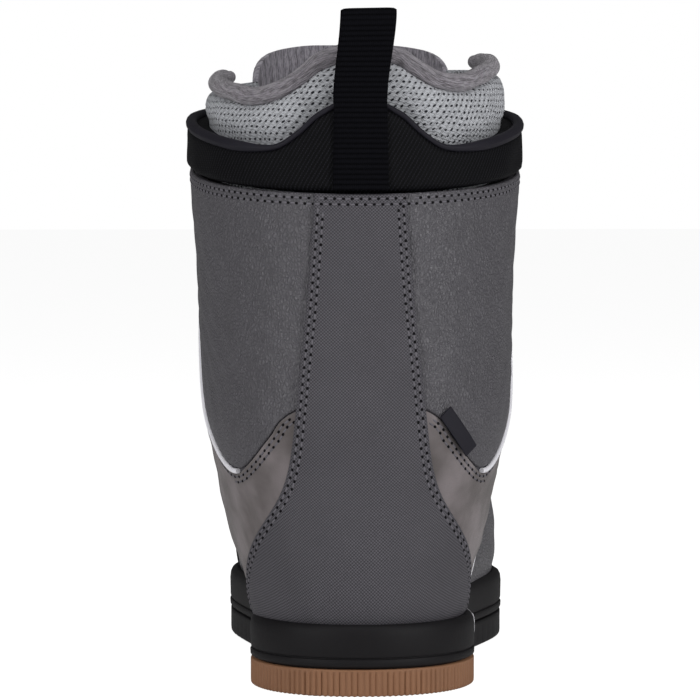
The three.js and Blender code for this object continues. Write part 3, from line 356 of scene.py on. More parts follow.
def new_object(name, points, faces, uv=None, smooth_angle=50):
    """A mesh object from boot points in millimetres, with smooth shading up to an angle."""
    mesh = bpy.data.meshes.new(name)
    faces = faces.tolist() if hasattr(faces, "tolist") else faces
    mesh.from_pydata(place(points).tolist(), [], faces)
    if uv is not None:
        layer = mesh.uv_layers.new(name="UVMap")
        index = np.empty(len(mesh.loops), int)
        mesh.loops.foreach_get("vertex_index", index)
        layer.data.foreach_set("uv", np.asarray(uv, np.float32)[index].ravel())
    mesh.validate()
    obj = bpy.data.objects.new(name, mesh)
    bpy.context.scene.collection.objects.link(obj)
    mesh.polygons.foreach_set("use_smooth", [True] * len(mesh.polygons))
    mesh.set_sharp_from_angle(angle=math.radians(smooth_angle))
    return obj


def dress(obj, material, body="boot", replaces=()):
    """Gives a piece its material and the body that it rides on, and hides the CAD nodes that it stands for.
    """
    obj.data.materials.clear()
    obj.data.materials.append(material)
    if body:
        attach(obj, body)
    if replaces:
        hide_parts(*replaces)
    return obj


class Sheet:
    """A triangle mesh on the boot surface, with values at its points that cuts interpolate."""

    def __init__(self, values, triangles):
        self.values = values
        self.triangles = triangles

    def __getitem__(self, name):
        return self.values[name]

    def cut(self, name, level, drop=True):
        """Splits triangles along a level of a value. With drop, what lies below the level goes."""
        v = self.values[name] - level
        v = np.where(np.abs(v) < 1e-3, 1e-3, v)
        above = (v > 0)[self.triangles]
        count = above.sum(1)
        crossed = (count == 1) | (count == 2)
        mixed, lone_above = self.triangles[crossed], count[crossed] == 1
        odd = np.argmax((v > 0)[mixed] == lone_above[:, None], 1)
        a, b, c = np.take_along_axis(mixed, (odd[:, None] + np.arange(3)) % 3, 1).T
        edges = np.sort(np.concatenate([np.stack([a, b], 1), np.stack([a, c], 1)]), 1)
        edges, index = np.unique(edges, axis=0, return_inverse=True)
        index = index.reshape(-1)
        low, high = edges.T
        t = v[low] / (v[low] - v[high])
        first = len(v)
        for key, array in self.values.items():
            w = t.reshape(-1, *[1] * (array.ndim - 1))
            self.values[key] = np.concatenate([array, array[low] * (1 - w) + array[high] * w])
        ab, ac = first + index[: len(a)], first + index[len(a):]
        lone = np.stack([a, ab, ac], 1)
        pair = np.concatenate([np.stack([ab, b, c], 1), np.stack([ab, c, ac], 1)])
        kept = [self.triangles[count == 3], lone[lone_above], pair[np.tile(~lone_above, 2)]]
        if not drop:
            kept += [self.triangles[count == 0], lone[~lone_above], pair[np.tile(lone_above, 2)]]
        self.triangles = np.concatenate(kept)
        return self

    def tidy(self):
        """Drops points that no triangle uses."""
        used = np.unique(self.triangles)
        remap = np.full(len(self.values["p"]), -1)
        remap[used] = np.arange(len(used))
        self.values = {k: a[used] for k, a in self.values.items()}
        self.triangles = remap[self.triangles]
        return self


def border_edges(triangles):
    edges = np.concatenate([triangles[:, [0, 1]], triangles[:, [1, 2]], triangles[:, [2, 0]]])
    key = np.sort(edges, 1)
    _, first, count = np.unique(key, axis=0, return_index=True, return_counts=True)
    return edges[first[count == 1]]


def section_planes():
    """Middles, fronts and leans of the planes that the surface grid is made on, from the top down
    the shaft, round the ankle's bend and out to the toe."""
    planes = []
    for z in np.arange(RIM_HEIGHT + 85, FAN_Z, -GRID):
        planes.append(((0, SHAFT_Y, z), (0, 1, 0), 0))
    reach = FAN_Y - SHAFT_Y
    for degrees in np.linspace(0, 90, 91):
        front = (0, math.cos(math.radians(degrees)), math.sin(math.radians(degrees)))
        planes.append(((0, FAN_Y - reach * front[1], FAN_Z - reach * front[2]), front, 0))
    heart = FAN_Z - reach
    for y in np.arange(FAN_Y + GRID, 0.76 * SOLE_LENGTH, GRID):
        planes.append(((0, y, heart), (0, 0, 1), 0))
    for lean in np.linspace(0, 89, 38):
        planes.append(((0, 0.76 * SOLE_LENGTH, heart), (0, 0, 1), lean))
    return planes


def surface_grid(seam_in_front, around=200):
    """The whole boot surface as a sheet. uv is in millimetres along and round the surface, measured
    from the line opposite the seam."""
    start = -180 if seam_in_front else 0
    a = np.radians(np.linspace(start, start + 360, around + 1))
    origins, rays = [], []
    for middle, front, lean in section_planes():
        ray = np.outer(np.sin(a), (1, 0, 0)) - np.outer(np.cos(a), front)
        lean = math.radians(lean)
        rays.append(ray * math.cos(lean) + np.array([0, math.sin(lean), 0]))
        origins.append(np.broadcast_to(middle, ray.shape))
    p, n = surface_point(np.array(origins), np.array(rays))
    low = p[..., 2] < 5
    p[low] = np.array(origins)[low] + np.array(rays)[low] * (
        (5 - np.array(origins)[low][:, 2]) / np.minimum(np.array(rays)[low][:, 2], -1e-6))[:, None]
    mid = around // 2
    round_steps = np.linalg.norm(np.diff(p, axis=1), axis=-1)
    round_length = np.concatenate([np.zeros((len(p), 1)), np.cumsum(round_steps, 1)], 1)
    round_length -= round_length[:, mid:mid + 1]
    down = np.concatenate([[0], np.cumsum(np.linalg.norm(np.diff(p[:, mid], axis=0), axis=-1))])
    uv = np.stack([round_length, np.broadcast_to(-down[:, None], round_length.shape)], -1)
    rows, columns = p.shape[:2]
    index = np.arange(rows * columns).reshape(rows, columns)
    q = [index[:-1, :-1], index[1:, :-1], index[1:, 1:], index[:-1, 1:]]
    a0, b0, c0, d0 = (k.ravel() for k in q)
    triangles = np.concatenate([np.stack([a0, b0, c0], 1), np.stack([a0, c0, d0], 1)])
    values = {"p": p.reshape(-1, 3), "n": n.reshape(-1, 3), "uv": uv.reshape(-1, 2)}
    return Sheet(values, triangles)


def lined(grid):
    """A grid with its distances from every line."""
    for name, values in LINES.items():
        grid.values[name] = np.clip(surface_distance(values, grid["p"], grid["n"]), -40, 40)
    grid.values["beside_opening"] = np.clip(outside_opening(grid["p"]), -40, 40)
    return grid


BACK_GRID = lined(surface_grid(seam_in_front=True))
FRONT_GRID = lined(surface_grid(seam_in_front=False))
REACH = 14  # how far from an edge its distance is still told


def region(grid, *distances):
    """The part of a grid where every distance is above 0; its value d is the least of them."""
    sheet = Sheet(dict(grid.values), grid.triangles)
    names = [f"d{i}" for i in range(len(distances))]
    for name, distance in zip(names, distances):
        sheet.values[name] = np.clip(distance(sheet), -REACH, REACH)
        sheet.cut(name, 0).tidy()
    sheet.values["d"] = np.min([sheet[name] for name in names], 0)
    return sheet


def shell_of(name, sheet, bottom, top, edge=1.1, relief=None, flat=5.0):
    """A closed piece between two offsets over a sheet, with a rounded edge all round. relief is
    added to its outer face further than flat from the edge, where its stitches lie."""
    for level in (0.2 * edge, 0.55 * edge, edge, 2.4 * edge):
        sheet.cut("d", level, drop=False)
    sheet.tidy()
    share = np.clip(sheet["d"] / edge, 0, 1)
    height = top - 0.8 * (top - bottom) * (1 - np.sqrt(1 - (1 - share) ** 2))
    if relief is not None:
        height = height + relief(sheet) * smoothstep(sheet["d"], flat, flat + 4)
    outer = moved_out(sheet["p"], sheet["n"], height)
    inner = moved_out(sheet["p"], sheet["n"], bottom)
    count = len(outer)
    first, second = border_edges(sheet.triangles).T
    walls = np.concatenate([
        np.stack([second, first, first + count], 1), np.stack([second, first + count, second + count], 1)])
    triangles = np.concatenate([sheet.triangles, sheet.triangles[:, ::-1] + count, walls])
    uv = np.tile(sheet["uv"], (2, 1)) * MM
    return new_object(name, np.concatenate([outer, inner]), triangles, uv)


def contour(sheet, values, level):
    """The lines on a sheet where a value is at a level, each a dict of the sheet's own values."""
    v = values(sheet) - level
    v = np.where(np.abs(v) < 1e-4, 1e-4, v)
    corners = sheet.triangles
    count = (v[corners] > 0).sum(1)
    crossed = corners[(count == 1) | (count == 2)]
    ends = []
    for a, b in ((0, 1), (1, 2), (2, 0)):
        low, high = np.sort(crossed[:, [a, b]], 1).T
        hit = (v[low] > 0) != (v[high] > 0)
        ends.append(np.where(hit, low.astype(np.int64) * len(v) + high, -1))
    pairs = np.sort(np.array(ends).T, 1)[:, 1:]
    links = {}
    for a, b in pairs.tolist():
        links.setdefault(a, []).append(b)
        links.setdefault(b, []).append(a)
    chains, seen = [], set()
    for start in sorted(links, key=lambda k: (len(links[k]), k)):
        if start in seen:
            continue
        chain = [start]
        seen.add(start)
        while True:
            onward = [k for k in links[chain[-1]] if k not in seen]
            if not onward:
                break
            chain.append(onward[0])
            seen.add(onward[0])
        chains.append(np.array(chain))
    lines = []
    for chain in chains:
        low, high = chain // len(v), chain % len(v)
        t = v[low] / (v[low] - v[high])
        lines.append({
            key: array[low] * (1 - t.reshape(-1, *[1] * (array.ndim - 1)))
            + array[high] * t.reshape(-1, *[1] * (array.ndim - 1))
            for key, array in sheet.values.items()})
    return lines


def spaced(line, spacing, shift=0.0):
    """A line's values at even steps along it, with the way it runs as t."""
    length = np.concatenate([[0], np.cumsum(np.linalg.norm(np.diff(line["p"], axis=0), axis=-1))])
    count = int(length[-1] / spacing)
    if count < 2:
        return None
    at = (np.arange(count) + 0.5 + shift) * length[-1] / (count + 1)
    out = {}
    for key, array in line.items():
        flat = array.reshape(len(array), -1)
        out[key] = np.stack([np.interp(at, length, c) for c in flat.T], -1).reshape(count, *array.shape[1:])
    out["t"] = np.gradient(out["p"], axis=0)
    out["t"] /= np.linalg.norm(out["t"], axis=-1, keepdims=True)
    out["n"] /= np.linalg.norm(out["n"], axis=-1, keepdims=True)
    return out


def ball(rings=5, around=8):
    """A unit ball's points and faces, its poles along the first axis."""
    points = [(-1, 0, 0)]
    for i in range(1, rings):
        a = math.pi * i / rings
        points += [(-math.cos(a), math.sin(a) * math.cos(b), math.sin(a) * math.sin(b))
                   for b in np.arange(around) * 2 * math.pi / around]
    points.append((1, 0, 0))
    faces = []
    for j in range(around):
        k = (j + 1) % around
        faces.append((0, 1 + k, 1 + j))
        for i in range(rings - 2):
            a, b = 1 + i * around, 1 + (i + 1) * around
            faces += [(a + j, a + k, b + k), (a + j, b + k, b + j)]
        last = 1 + (rings - 2) * around
        faces.append((len(points) - 1, last + j, last + k))
    return np.array(points), np.array(faces)


def copies(name, centres, along, normals, size):
    """One mesh of flattened balls, one at each centre: size is half its length, width and height."""
    points, faces = ball()
    across = np.cross(normals, along)
    axes = np.stack([along, across, normals], 1)
    placed = centres[:, None] + np.einsum("pk,ckd->cpd", points * size, axes)
    faces = faces[None] + (np.arange(len(centres)) * len(points))[:, None, None]
    return new_object(name, placed.reshape(-1, 3), faces.reshape(-1, 3), smooth_angle=180)


STITCH = 3.5  # from one stitch to the next


def stitch_rows(name, sheet, rows, offset):
    """Rows of stitches, each row (values, level, keep): thread, with dark flat spots between the stitches
    that paint the shade in each needle hole.
    """
    found = []
    for row, (values, level, keep) in enumerate(rows):
        for line in contour(sheet, values, level):
            line = spaced(line, STITCH, 0.5 * (row % 2))
            if line is not None:
                kept = keep(line)
                found.append({key: array[kept] for key, array in line.items()})
    p, n, t = (np.concatenate([line[key] for line in found]) for key in ("p", "n", "t"))
    t = t - n * (t * n).sum(-1, keepdims=True)
    t /= np.linalg.norm(t, axis=-1, keepdims=True)
    p = moved_out(p, n, offset)
    thread = copies(f"{name}_thread", p, t, n, (0.36 * STITCH, 0.42, 0.32))
    dress(thread, MATERIALS["thread"])
    # Dark flat spots where the thread goes in: painted shade of each needle hole.
    hole_shade = copies(f"{name}_holes", p + t * STITCH / 2, t, n, (0.75, 0.6, 0.13))
    dress(hole_shade, MATERIALS["hole"])


def tube(name, points, radii, around=14):
    """A round tube along points, with uv along and round it in metres."""
    points = np.asarray(points, float)
    radii = np.broadcast_to(radii, len(points))
    tangents = np.gradient(points, axis=0)
    tangents /= np.linalg.norm(tangents, axis=-1, keepdims=True)
    side = np.cross(tangents[0], (0.3, 0.2, 1))
    rings, uv = [], []
    length = np.concatenate([[0], np.cumsum(np.linalg.norm(np.diff(points, axis=0), axis=-1))])
    angles = np.linspace(0, 2 * math.pi, around + 1)
    for point, tangent, radius, along in zip(points, tangents, radii, length):
        side = side - tangent * np.dot(side, tangent)
        side /= np.linalg.norm(side)
        up = np.cross(tangent, side)
        rings.append(point + radius * (np.outer(np.cos(angles), side) + np.outer(np.sin(angles), up)))
        uv.append(np.stack([angles * radius, np.full(around + 1, along)], -1))
    count = around + 1
    index = np.arange(len(points) * count).reshape(-1, count)
    faces = np.stack([index[:-1, :-1], index[:-1, 1:], index[1:, 1:], index[1:, :-1]], -1).reshape(-1, 4)
    faces = faces.tolist()
    faces += [index[0, :-1][::-1].tolist(), index[-1, :-1].tolist()]
    return new_object(name, np.concatenate(rings), faces, np.concatenate(uv) * MM, 60)


def lofted(name, rings, uv=None, smooth_angle=40):
    """A closed body through rings of points, flat at both ends."""
    rings = np.asarray(rings, float)
    count = rings.shape[1]
    index = np.arange(rings.shape[0] * count).reshape(-1, count)
    after = np.roll(index, -1, 1)
    faces = np.stack([index[:-1], after[:-1], after[1:], index[1:]], -1).reshape(-1, 4).tolist()
    faces += [index[0][::-1].tolist(), index[-1].tolist()]
    return new_object(name, rings.reshape(-1, 3), faces, uv, smooth_angle)


# ---- Materials -----------------------------------------------------------------------------------
class Look:
    """A material in the making, with short ways to add and join shader nodes."""

    def __init__(self, name, specular=0.4, sheen=0.0, metallic=0.0):
        self.material = bpy.data.materials.new(name)
        self.material.use_nodes = True
        self.tree = self.material.node_tree
        self.shader = self.tree.nodes["Principled BSDF"]
        inputs = self.shader.inputs
        inputs["Specular IOR Level"].default_value = specular
        inputs["Sheen Weight"].default_value = sheen
        inputs["Metallic"].default_value = metallic

    def node(self, kind, inputs=(), **settings):
        made = self.tree.nodes.new(f"ShaderNode{kind}")
        for key, value in settings.items():
            setattr(made, key, value)
        for key, value in dict(inputs).items():
            self.join(value, made.inputs[key])
        return made

    def join(self, value, socket):
        if isinstance(value, bpy.types.NodeSocket):
            self.tree.links.new(value, socket)
        else:
            socket.default_value = value

    def math(self, operation, a, b=0.0, c=0.0):
        return self.node("Math", {0: a, 1: b, 2: c}, operation=operation).outputs[0]

    def place(self, surface=True):
        """Millimetres: along and round the piece's surface, or in the object's own axes."""
        coordinates = self.node("TexCoord").outputs["UV" if surface else "Object"]
        scaled = self.node("VectorMath", {0: coordinates}, operation="SCALE")
        scaled.inputs["Scale"].default_value = 1 / MM
        return scaled.outputs[0]

    def axes(self, vector, turn=0.0):
        """The first two parts of a place, turned by degrees."""
        turned = self.node("VectorRotate", {"Vector": vector, "Angle": math.radians(turn)})
        apart = self.node("SeparateXYZ", {0: turned.outputs[0]})
        return apart.outputs[0], apart.outputs[1]

    def wave(self, x, pitch):
        """Runs smoothly from -1 to 1 and back over each pitch."""
        return self.math("SINE", self.math("MULTIPLY", x, 2 * math.pi / pitch))

    def noise(self, vector, size, detail=3.0, roughness=0.5):
        inputs = {"Vector": vector, "Scale": 1 / size, "Detail": detail, "Roughness": roughness}
        return self.node("TexNoise", inputs).outputs[0]

    def cells(self, vector, size, feature="F1"):
        inputs = {"Vector": vector, "Scale": 1 / size}
        return self.node("TexVoronoi", inputs, feature=feature).outputs["Distance"]

    def step(self, value, low, high):
        """0 below low, 1 above high, and smooth between."""
        inputs = {"Value": value, "From Min": low, "From Max": high}
        return self.node("MapRange", inputs, interpolation_type="SMOOTHSTEP").outputs[0]

    def ramp(self, value, low, high):
        inputs = {"Value": value, "To Min": low, "To Max": high}
        return self.node("MapRange", inputs).outputs[0]

    def blend(self, share, a, b):
        mix = self.node("Mix", data_type="RGBA")
        self.join(share, mix.inputs[0])
        self.join(a if isinstance(a, bpy.types.NodeSocket) else (*a, 1), mix.inputs[6])
        self.join(b if isinstance(b, bpy.types.NodeSocket) else (*b, 1), mix.inputs[7])
        return mix.outputs[2]

    def relief(self, *heights):
        """Bumps, one on another: pairs of a height from 0 to 1 and its real size in millimetres."""
        normal = None
        for height, size in heights:
            bump = self.node("Bump", {"Height": height})
            bump.inputs["Strength"].default_value = 1
            bump.inputs["Distance"].default_value = size * MM
            if normal:
                self.join(normal, bump.inputs["Normal"])
            normal = bump.outputs[0]
        self.join(normal, self.shader.inputs["Normal"])

    def finish(self, colour, roughness):
        self.join(colour, self.shader.inputs["Base Color"])
        self.join(roughness, self.shader.inputs["Roughness"])
        return self.material


def linear(r, g, b):
    """A colour from its sRGB parts, 0 to 255."""
    return tuple(
        c / 255 / 12.92 if c <= 10 else ((c / 255 + 0.055) / 1.055) ** 2.4 for c in (r, g, b))


def leather():
    """Pebbled synthetic leather: flattened grains, drawn out downwards, with fine creases between."""
    look = Look("leather", specular=0.6)
    at = look.place()
    shift = look.node("TexNoise", {"Vector": at, "Scale": 1 / 2.5, "Detail": 2.0})
    grown = look.node("VectorMath", {0: shift.outputs["Color"]}, operation="SCALE")
    grown.inputs["Scale"].default_value = 1.6
    warped = look.node("VectorMath", {0: at, 1: grown.outputs[0]}, operation="ADD").outputs[0]
    long = look.node("Mapping", {"Vector": warped})
    long.inputs["Scale"].default_value = (1.0, 0.62, 1)
    grains = look.step(look.cells(long.outputs[0], 1.25, "DISTANCE_TO_EDGE"), 0.0, 0.34)
    drawn = look.node("Mapping", {"Vector": warped})
    drawn.inputs["Scale"].default_value = (1.0, 0.22, 1)
    creases = look.noise(drawn.outputs[0], 2.6, 4, 0.6)
    fine = look.noise(at, 0.35, 3)
    slow = look.noise(at, 22, 3)
    tone = look.blend(slow, linear(85, 83, 88), linear(97, 95, 101))
    colour = look.blend(look.ramp(grains, 0.5, 0), tone, linear(58, 56, 61))
    look.relief((creases, 0.7), (grains, 0.3), (fine, 0.06))
    return look.finish(colour, look.ramp(look.noise(at, 3), 0.36, 0.5))


def woven():
    """Coarse diagonal weave with a worn, slightly shiny face."""
    look = Look("woven", specular=0.35)
    x, y = look.axes(look.place())
    basket = look.math("MULTIPLY", look.wave(x, 1.35), look.wave(y, 1.35))
    threads = look.math("MULTIPLY", look.wave(x, 0.375), look.wave(y, 0.375))
    noise = look.noise(look.place(), 0.5, 3)
    slow = look.noise(look.place(), 25, 4)
    height = look.ramp(basket, 0.4, 0.9)
    tone = look.blend(slow, linear(88, 86, 92), linear(104, 102, 108))
    colour = look.blend(look.step(basket, -0.7, 0.7), linear(56, 54, 59), tone)
    look.relief((height, 0.24), (look.ramp(threads, 0, 1), 0.03), (noise, 0.06))
    return look.finish(colour, look.ramp(noise, 0.6, 0.78))


def suede():
    """Brushed suede, taupe with paler blotches where the nap lies the other way."""
    look = Look("suede", specular=0.2, sheen=0.25)
    at = look.place()
    nap = look.noise(at, 0.45, 4, 0.65)
    blotches = look.step(look.noise(at, 24, 3, 0.5), 0.36, 0.7)
    tone = look.blend(blotches, linear(108, 102, 102), linear(148, 140, 142))
    colour = look.blend(look.ramp(nap, 0.0, 0.5), tone, linear(76, 71, 67))
    look.relief((nap, 0.16), (look.noise(at, 3.5, 3), 0.25))
    return look.finish(colour, look.ramp(nap, 0.8, 0.98))


def black_mesh():
    """Black knit spacer mesh: fine slanting ribs of knit, broken by their rungs. Its colour is painted
    lighter on the ribs' crowns and near black between them: a painted highlight and painted shade.
    """
    look = Look("black_mesh", specular=0.12)
    x, _ = look.axes(look.place(), 30)
    u, _ = look.axes(look.place(), -52)
    knit = look.math("MULTIPLY", look.ramp(look.wave(x, 1.5), 0, 1), look.ramp(look.wave(u, 1.05), 0.25, 1))
    fine = look.noise(look.place(), 0.5, 3)
    # The knit's crowns painted lighter and its gaps darker: a painted highlight and painted shade.
    painted_rib_light = look.math("MULTIPLY", knit, look.ramp(fine, 0.2, 1.3))
    colour = look.blend(painted_rib_light, linear(4, 4, 6), linear(46, 46, 53))
    look.relief((knit, 0.4), (fine, 0.08))
    return look.finish(colour, look.ramp(fine, 0.6, 0.8))


def air_mesh():
    """Light grey air mesh: a fine knit with small gaps, and slanting rows of larger eyelets."""
    look = Look("air_mesh", specular=0.2, sheen=0.1)
    place = look.place()
    drift = look.node("TexNoise", {"Vector": place, "Scale": 1 / 9, "Detail": 2.0})
    moved = look.node("VectorMath", {0: drift.outputs["Color"]}, operation="SCALE")
    moved.inputs["Scale"].default_value = 2.4
    at = look.node("VectorMath", {0: place, 1: moved.outputs[0]}, operation="ADD").outputs[0]
    _, y = look.axes(at, 14)
    u, _ = look.axes(at, -48)
    courses = look.wave(y, 1.25)
    wales = look.wave(u, 1.45)
    gaps = look.math("MULTIPLY", courses, wales)
    rows, _ = look.axes(at, -30)
    v, _ = look.axes(at, 62)
    eyelets = look.math("MULTIPLY", look.wave(rows, 5.2), look.wave(v, 2.9))
    patchy = look.noise(at, 2.2, 2)
    eyelet = look.step(look.math("MULTIPLY_ADD", patchy, 0.9, eyelets), 0.98, 1.2)
    small = look.math("MULTIPLY", look.step(gaps, 0.45, 0.85), look.ramp(patchy, 0.15, 0.95))
    hole = look.math("MAXIMUM", eyelet, small)
    fine = look.noise(at, 0.35, 3)
    slow = look.noise(at, 16, 3)
    face = look.blend(slow, linear(188, 190, 195), linear(216, 218, 223))
    face = look.blend(look.ramp(look.math("ABSOLUTE", courses), 0.5, 0), face, linear(130, 132, 138))
    colour = look.blend(hole, face, linear(44, 44, 50))
    look.relief((look.ramp(hole, 1, 0), 0.4), (look.ramp(courses, 0, 1), 0.25), (fine, 0.12))
    return look.finish(colour, look.ramp(fine, 0.75, 0.95))


def webbing():
    """Black webbing: rounded ribs across it, each a row of fine threads. Its colour is painted lighter on the
    crowns of the ribs and threads and black in the grooves: a painted highlight and painted shade.
    """
    look = Look("webbing", specular=0.05)
    x, y = look.axes(look.place())
    ribs = look.math("POWER", look.math("ABSOLUTE", look.wave(y, 4.2)), 0.6)
    threads = look.wave(x, 0.75)
    fine = look.noise(look.place(), 0.4, 2)
    # Painted highlight on the rib and thread crowns, painted shade in the grooves between them.
    painted_rib_light = look.math("MULTIPLY", ribs, look.ramp(threads, 0.55, 1))
    colour = look.blend(painted_rib_light, linear(0, 0, 1), linear(17, 17, 22))
    look.relief((ribs, 0.35), (look.ramp(threads, 0, 1), 0.08), (fine, 0.05))
    return look.finish(colour, look.ramp(fine, 0.7, 0.9))


def jersey(name, dark, light):
    """Marled jersey: fine wales with flecks of two yarns."""
    look = Look(name, specular=0.2, sheen=0.3)
    at = look.place()
    x, _ = look.axes(at, 8)
    wales = look.wave(x, 0.9)
    stretched = look.node("Mapping", {"Vector": at})
    stretched.inputs["Scale"].default_value = (1.4, 0.22, 1)
    flecks = look.noise(stretched.outputs[0], 0.9, 4, 0.7)
    bands = look.wave(x, 4.2)
    mixed = look.math("ADD", look.step(flecks, 0.35, 0.65), look.math("MULTIPLY", bands, 0.18))
    colour = look.blend(mixed, linear(*dark), linear(*light))
    look.relief((look.ramp(wales, 0, 1), 0.2), (look.noise(at, 0.4, 3), 0.12))
    return look.finish(colour, look.ramp(flecks, 0.8, 0.95))


def moulded(name, dark, light, roughness, grain=0.5, size=0.05, specular=0.45):
    """A moulded or smooth surface: faint grain and slow changes of tone."""
    look = Look(name, specular=specular)
    at = look.place(surface=False)
    fine = look.noise(at, grain, 4, 0.6)
    slow = look.noise(at, 16, 3)
    colour = look.blend(look.math("MULTIPLY_ADD", fine, 0.5, look.math("MULTIPLY", slow, 0.5)),
                        linear(*dark), linear(*light))
    look.relief((fine, size), (look.noise(at, 5, 2), 0.1))
    return look.finish(colour, look.ramp(fine, roughness - 0.07, roughness + 0.09))


def steel():
    look = Look("steel", metallic=1.0)
    at = look.place(surface=False)
    rings = look.noise(at, 0.3, 2)
    look.relief((rings, 0.02))
    return look.finish(look.blend(rings, (0.45, 0.46, 0.48), (0.6, 0.61, 0.63)), look.ramp(rings, 0.25, 0.42))


def braid():
    """Round braided lace: two crossing sets of strands."""
    look = Look("lace", specular=0.4)
    _, v = look.axes(look.place(), 35)
    _, t = look.axes(look.place(), -35)
    strands = look.math("MULTIPLY", look.wave(v, 0.9), look.wave(t, 0.9))
    flecks = look.noise(look.place(), 1.5, 2)
    tone = look.blend(look.step(flecks, 0.5, 0.6), linear(112, 114, 118), linear(150, 152, 156))
    colour = look.blend(look.step(strands, -0.8, 0.2), linear(40, 41, 44), tone)
    look.relief((look.ramp(strands, 0, 1), 0.2))
    return look.finish(colour, look.ramp(flecks, 0.5, 0.65))


def ground():
    """A white floor that looks brighter than the light it throws on the object."""
    look = Look("studio_floor", specular=0.0)
    look.shader.inputs["Emission Color"].default_value = (1, 1, 1, 1)
    seen = look.node("LightPath").outputs["Is Camera Ray"]
    look.join(look.ramp(seen, 0.12, 0.86), look.shader.inputs["Emission Strength"])
    return look.finish((0.8, 0.8, 0.8, 1), 1.0)


MATERIALS = {
    "leather": leather(),
    "woven": woven(),
    "suede": suede(),
    "black_mesh": black_mesh(),
    "air_mesh": air_mesh(),
    "webbing": webbing(),
    "roll": jersey("roll_jersey", (104, 100, 105), (166, 161, 168)),
    "tongue_jersey": jersey("tongue_jersey", (104, 101, 108), (176, 171, 180)),
    "lining": moulded("lining", (26, 26, 28), (48, 47, 50), 0.9, 0.6, 0.2, 0.2),
    "footbed": moulded("footbed", (30, 30, 34), (58, 57, 61), 0.9, 0.9, 0.25, 0.2),
    "rubber": moulded("black_rubber", (14, 13, 15), (25, 23, 26), 0.6, 0.5, 0.07, 0.22),
    "gum": moulded("gum_rubber", (132, 92, 66), (158, 116, 86), 0.6, 0.7, 0.05, 0.35),
    "binding": moulded("collar_binding", (22, 21, 27), (36, 34, 44), 0.6, 0.35, 0.06, 0.22),
    "white": moulded("white_piping", (242, 240, 248), (252, 251, 255), 0.45, 0.5, 0.03, 0.5),
    "plastic": moulded("moulded_plastic", (22, 22, 25), (38, 38, 42), 0.45, 0.3, 0.04, 0.5),
    "board": moulded("fibre_board", (58, 54, 50), (80, 75, 70), 0.85, 0.5, 0.1, 0.2),
    "steel": steel(),
    "lace": braid(),
    "thread": moulded("thread", (92, 90, 96), (124, 121, 128), 0.7, 0.3, 0.08, 0.3),
    # Dark spots that paint the shade in the needle holes.
    "hole": moulded("stitch_hole_shade", (14, 13, 15), (24, 23, 26), 0.9, 0.3, 0.05, 0.1),
    "floor": ground(),
}


# ---- Sole ----------------------------------------------------------------------------------------
sole_half_width = shares([
    (0.14, HEEL), (0.4, WAIST_WIDTH / 2), (0.68, BALL_WIDTH / 2), (0.85, BALL_WIDTH / 2 - 3),
    (1, BALL_WIDTH / 2 - 8)], SOLE_LENGTH)


def evenly(points, count):
    """Points at even steps along a line of points, its two ends among them."""
    length = np.concatenate([[0], np.cumsum(np.linalg.norm(np.diff(points, axis=0), axis=-1))])
    at = np.linspace(0, length[-1], count)
    return np.stack([np.interp(at, length, c) for c in points.T], -1)


def sole_outline(inset, start=None, end=None):
    """The sole's outline from above, from its inner side round the heel to the outer side, or
    round the toe where only start is given; closed where neither is."""
    t = np.linspace(-math.pi, math.pi, 2401)
    y = inset + (1 - np.cos(t)) / 2 * (SOLE_LENGTH - 2 * inset)
    heel_round, toe_round = 0.18 * SOLE_LENGTH, 0.3 * SOLE_LENGTH
    heel = np.maximum(heel_round - y, 0) / (heel_round - inset)
    toe = np.maximum(y - SOLE_LENGTH + toe_round, 0) / (toe_round - inset)
    caps = np.maximum(0, 1 - heel**2.3) ** (1 / 2.1) * np.maximum(0, 1 - toe**2.5) ** (1 / 2.2)
    x = foot_centre(y) + np.sign(t) * (sole_half_width(y) - inset) * caps
    points = np.stack([x, y], -1)
    if end is not None:
        return points[y < end]
    if start is not None:
        points = np.concatenate([points[t > 0], points[t < 0]])
        return points[points[:, 1] > start]
    return points[:-1]


def outward(points, closed):
    """The way out, square to an outline that runs anticlockwise from above."""
    around = np.concatenate([points[-1:], points, points[:1]]) if closed else points
    run = np.gradient(around, axis=0)
    run = run[1:-1] if closed else run
    out = np.stack([run[:, 1], -run[:, 0]], -1)
    return out / np.linalg.norm(out, axis=-1, keepdims=True)


def at_height(points, z):
    z = np.broadcast_to(np.asarray(z, float), len(points))
    return np.column_stack([points, z])


def walls(name, profile):
    """A body with the sole's outline: its profile is pairs of a height and an inset."""
    rings = []
    for z, inset in profile:
        points = evenly(sole_outline(inset), 421)[:-1]
        rings.append(at_height(points, z))
    return lofted(name, rings)


def tread(name, outline, pitch, depth, land, top):
    """A tread block with rounded upright ribs, a land above them and a scalloped lower edge."""
    step = 0.3
    length = np.linalg.norm(np.diff(outline, axis=0), axis=-1).sum()
    ribs = round(length / pitch)
    points = evenly(outline, int(length / step))
    out = outward(points, closed=False)
    share = np.abs(np.sin(np.linspace(0, math.pi * ribs, len(points))))
    rib = depth * (share**0.55 - 1)
    across = np.linspace(points[-1], points[0], 40)[1:-1]
    rings = []
    for z, ribbed, inset in [
            (0, 1, 1.3), (0.35, 1, 0.5), (1.0, 1, 0.1), (2.2, 1, 0), (top - land - 1, 1, 0),
            (top - land, 0.35, 0), (top - land + 0.4, 0, 0), (top - 0.3, 0, 0), (top, 0, 0.3)]:
        edge = points + out * (ribbed * rib - inset)[:, None]
        heights = z + (0.6 * (1 - share) if z == 0 else 0)
        rings.append(np.concatenate([at_height(edge, heights), at_height(across, z)]))
    return lofted(name, rings, smooth_angle=55)


